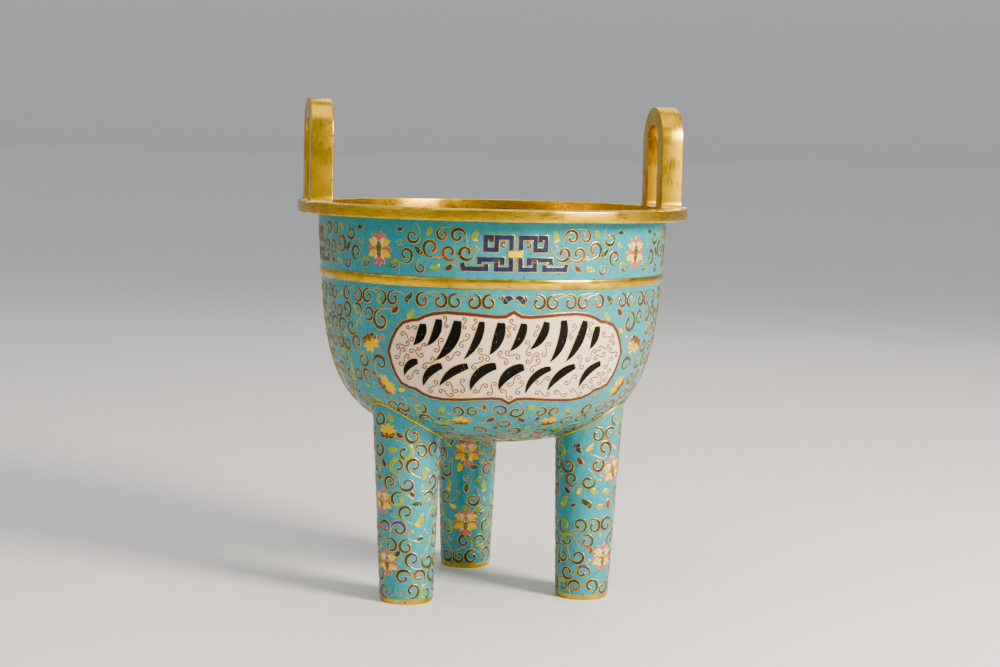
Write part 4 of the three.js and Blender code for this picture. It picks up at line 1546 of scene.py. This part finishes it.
# The lamps: name, degrees to the right of the camera and above level, distance and size in metres, power in
# watts.
LAMPS = (("key", 55, 24, 1.5, 0.45, 44.0), ("fill", -55, 30, 1.9, 1.6, 4.0), ("top", 10, 78, 1.6, 1.4, 7.0),
         ("back", 165, 40, 1.8, 1.2, 6.0))


def studio_sky():
    """A pale world that brightens overhead."""
    world = bpy.data.worlds.new("studio")
    world.use_nodes = True
    sky = world.node_tree
    way = node(sky, "ShaderNodeSeparateXYZ", {0: node(sky, "ShaderNodeTexCoord").outputs["Generated"]})
    up = node(sky, "ShaderNodeMath", {0: way.outputs["Z"], 1: 0.0}, operation="MAXIMUM")
    glow = node(sky, "ShaderNodeMath", {0: up, 1: SKY_GAIN, 2: SKY_LEVEL}, operation="MULTIPLY_ADD")
    give(sky, sky.nodes["Background"], {"Color": (*linear(SKY_COLOUR), 1), "Strength": glow})
    return world


class BURNER_OT_stage(bpy.types.Operator):
    """Makes the floor, the lights and the camera"""
    bl_idname = "burner.stage"
    bl_label = "Stage"

    def execute(self, context):
        scene, stage = context.scene, context.scene.burner_stage
        corners = [(x * FLOOR_HALF, y * FLOOR_HALF, 0) for x, y in ((-1, -1), (1, -1), (1, 1), (-1, 1))]
        floor_mesh = new_mesh("floor", corners, [(0, 1, 2, 3)])
        floor_mesh.materials.append(material_once("matt_board", plaster, tuple(stage.floor)))
        floor = new_object("floor", floor_mesh)
        for name, azimuth, elevation, reach, width, power in LAMPS:
            light = bpy.data.lights.new(name, "AREA")
            light.size = width
            light.energy = power
            light.color = linear(LAMP_COLOUR)
            up = math.radians(elevation)
            away = at_azimuth(math.radians(azimuth) - stage.swing, math.cos(up), math.sin(up))
            lamp = new_object(name, light)
            lamp.location = LIT_POINT + away * reach
            lamp.rotation_euler = away.to_track_quat("Z", "Y").to_euler()
        scene.world = studio_sky()
        scene.view_settings.look = "AgX - Medium High Contrast"
        lens = bpy.data.cameras.new("camera")
        lens.sensor_fit = "HORIZONTAL"
        lens.lens = stage.focal_pixels * lens.sensor_width / PHOTO_WIDTH
        camera = new_object("camera", lens)
        camera.matrix_world = (Matrix.Translation(at_azimuth(-stage.swing, stage.distance, stage.height))
                               @ Matrix.Rotation(-(stage.swing + stage.pan), 4, "Z")
                               @ Matrix.Rotation(math.pi / 2 - stage.tilt, 4, "X")
                               @ Matrix.Rotation(stage.roll, 4, "Z"))
        scene.camera = camera
        return {"FINISHED"}


class BURNER_PT_panel(bpy.types.Panel):
    """The steps that dress the incense burner"""
    bl_label = "Incense burner"
    bl_idname = "BURNER_PT_panel"
    bl_space_type = "VIEW_3D"
    bl_region_type = "UI"
    bl_category = "Incense burner"

    def draw(self, context):
        for step in STEPS:
            self.layout.operator(step.bl_idname)


STEPS = (BURNER_OT_stage, BURNER_OT_vessel, BURNER_OT_legs, BURNER_OT_fittings, BURNER_OT_inlay)
GROUPS = {"burner_vessel": BurnerVessel, "burner_gilt": BurnerGilt, "burner_enamel": BurnerEnamel,
          "burner_stage": BurnerStage}


def register():
    for kind in (*GROUPS.values(), *STEPS, BURNER_PT_panel):
        bpy.utils.register_class(kind)
    for name, group in GROUPS.items():
        setattr(bpy.types.Scene, name, bpy.props.PointerProperty(type=group))


def unregister():
    for name in GROUPS:
        delattr(bpy.types.Scene, name)
    for kind in (*GROUPS.values(), *STEPS, BURNER_PT_panel):
        bpy.utils.unregister_class(kind)


def main():
    register()
    bpy.ops.burner.stage()
    bpy.ops.burner.vessel()
    bpy.ops.burner.legs()
    bpy.ops.burner.fittings()
    bpy.ops.burner.inlay()


if __name__ == "__main__":
    main()
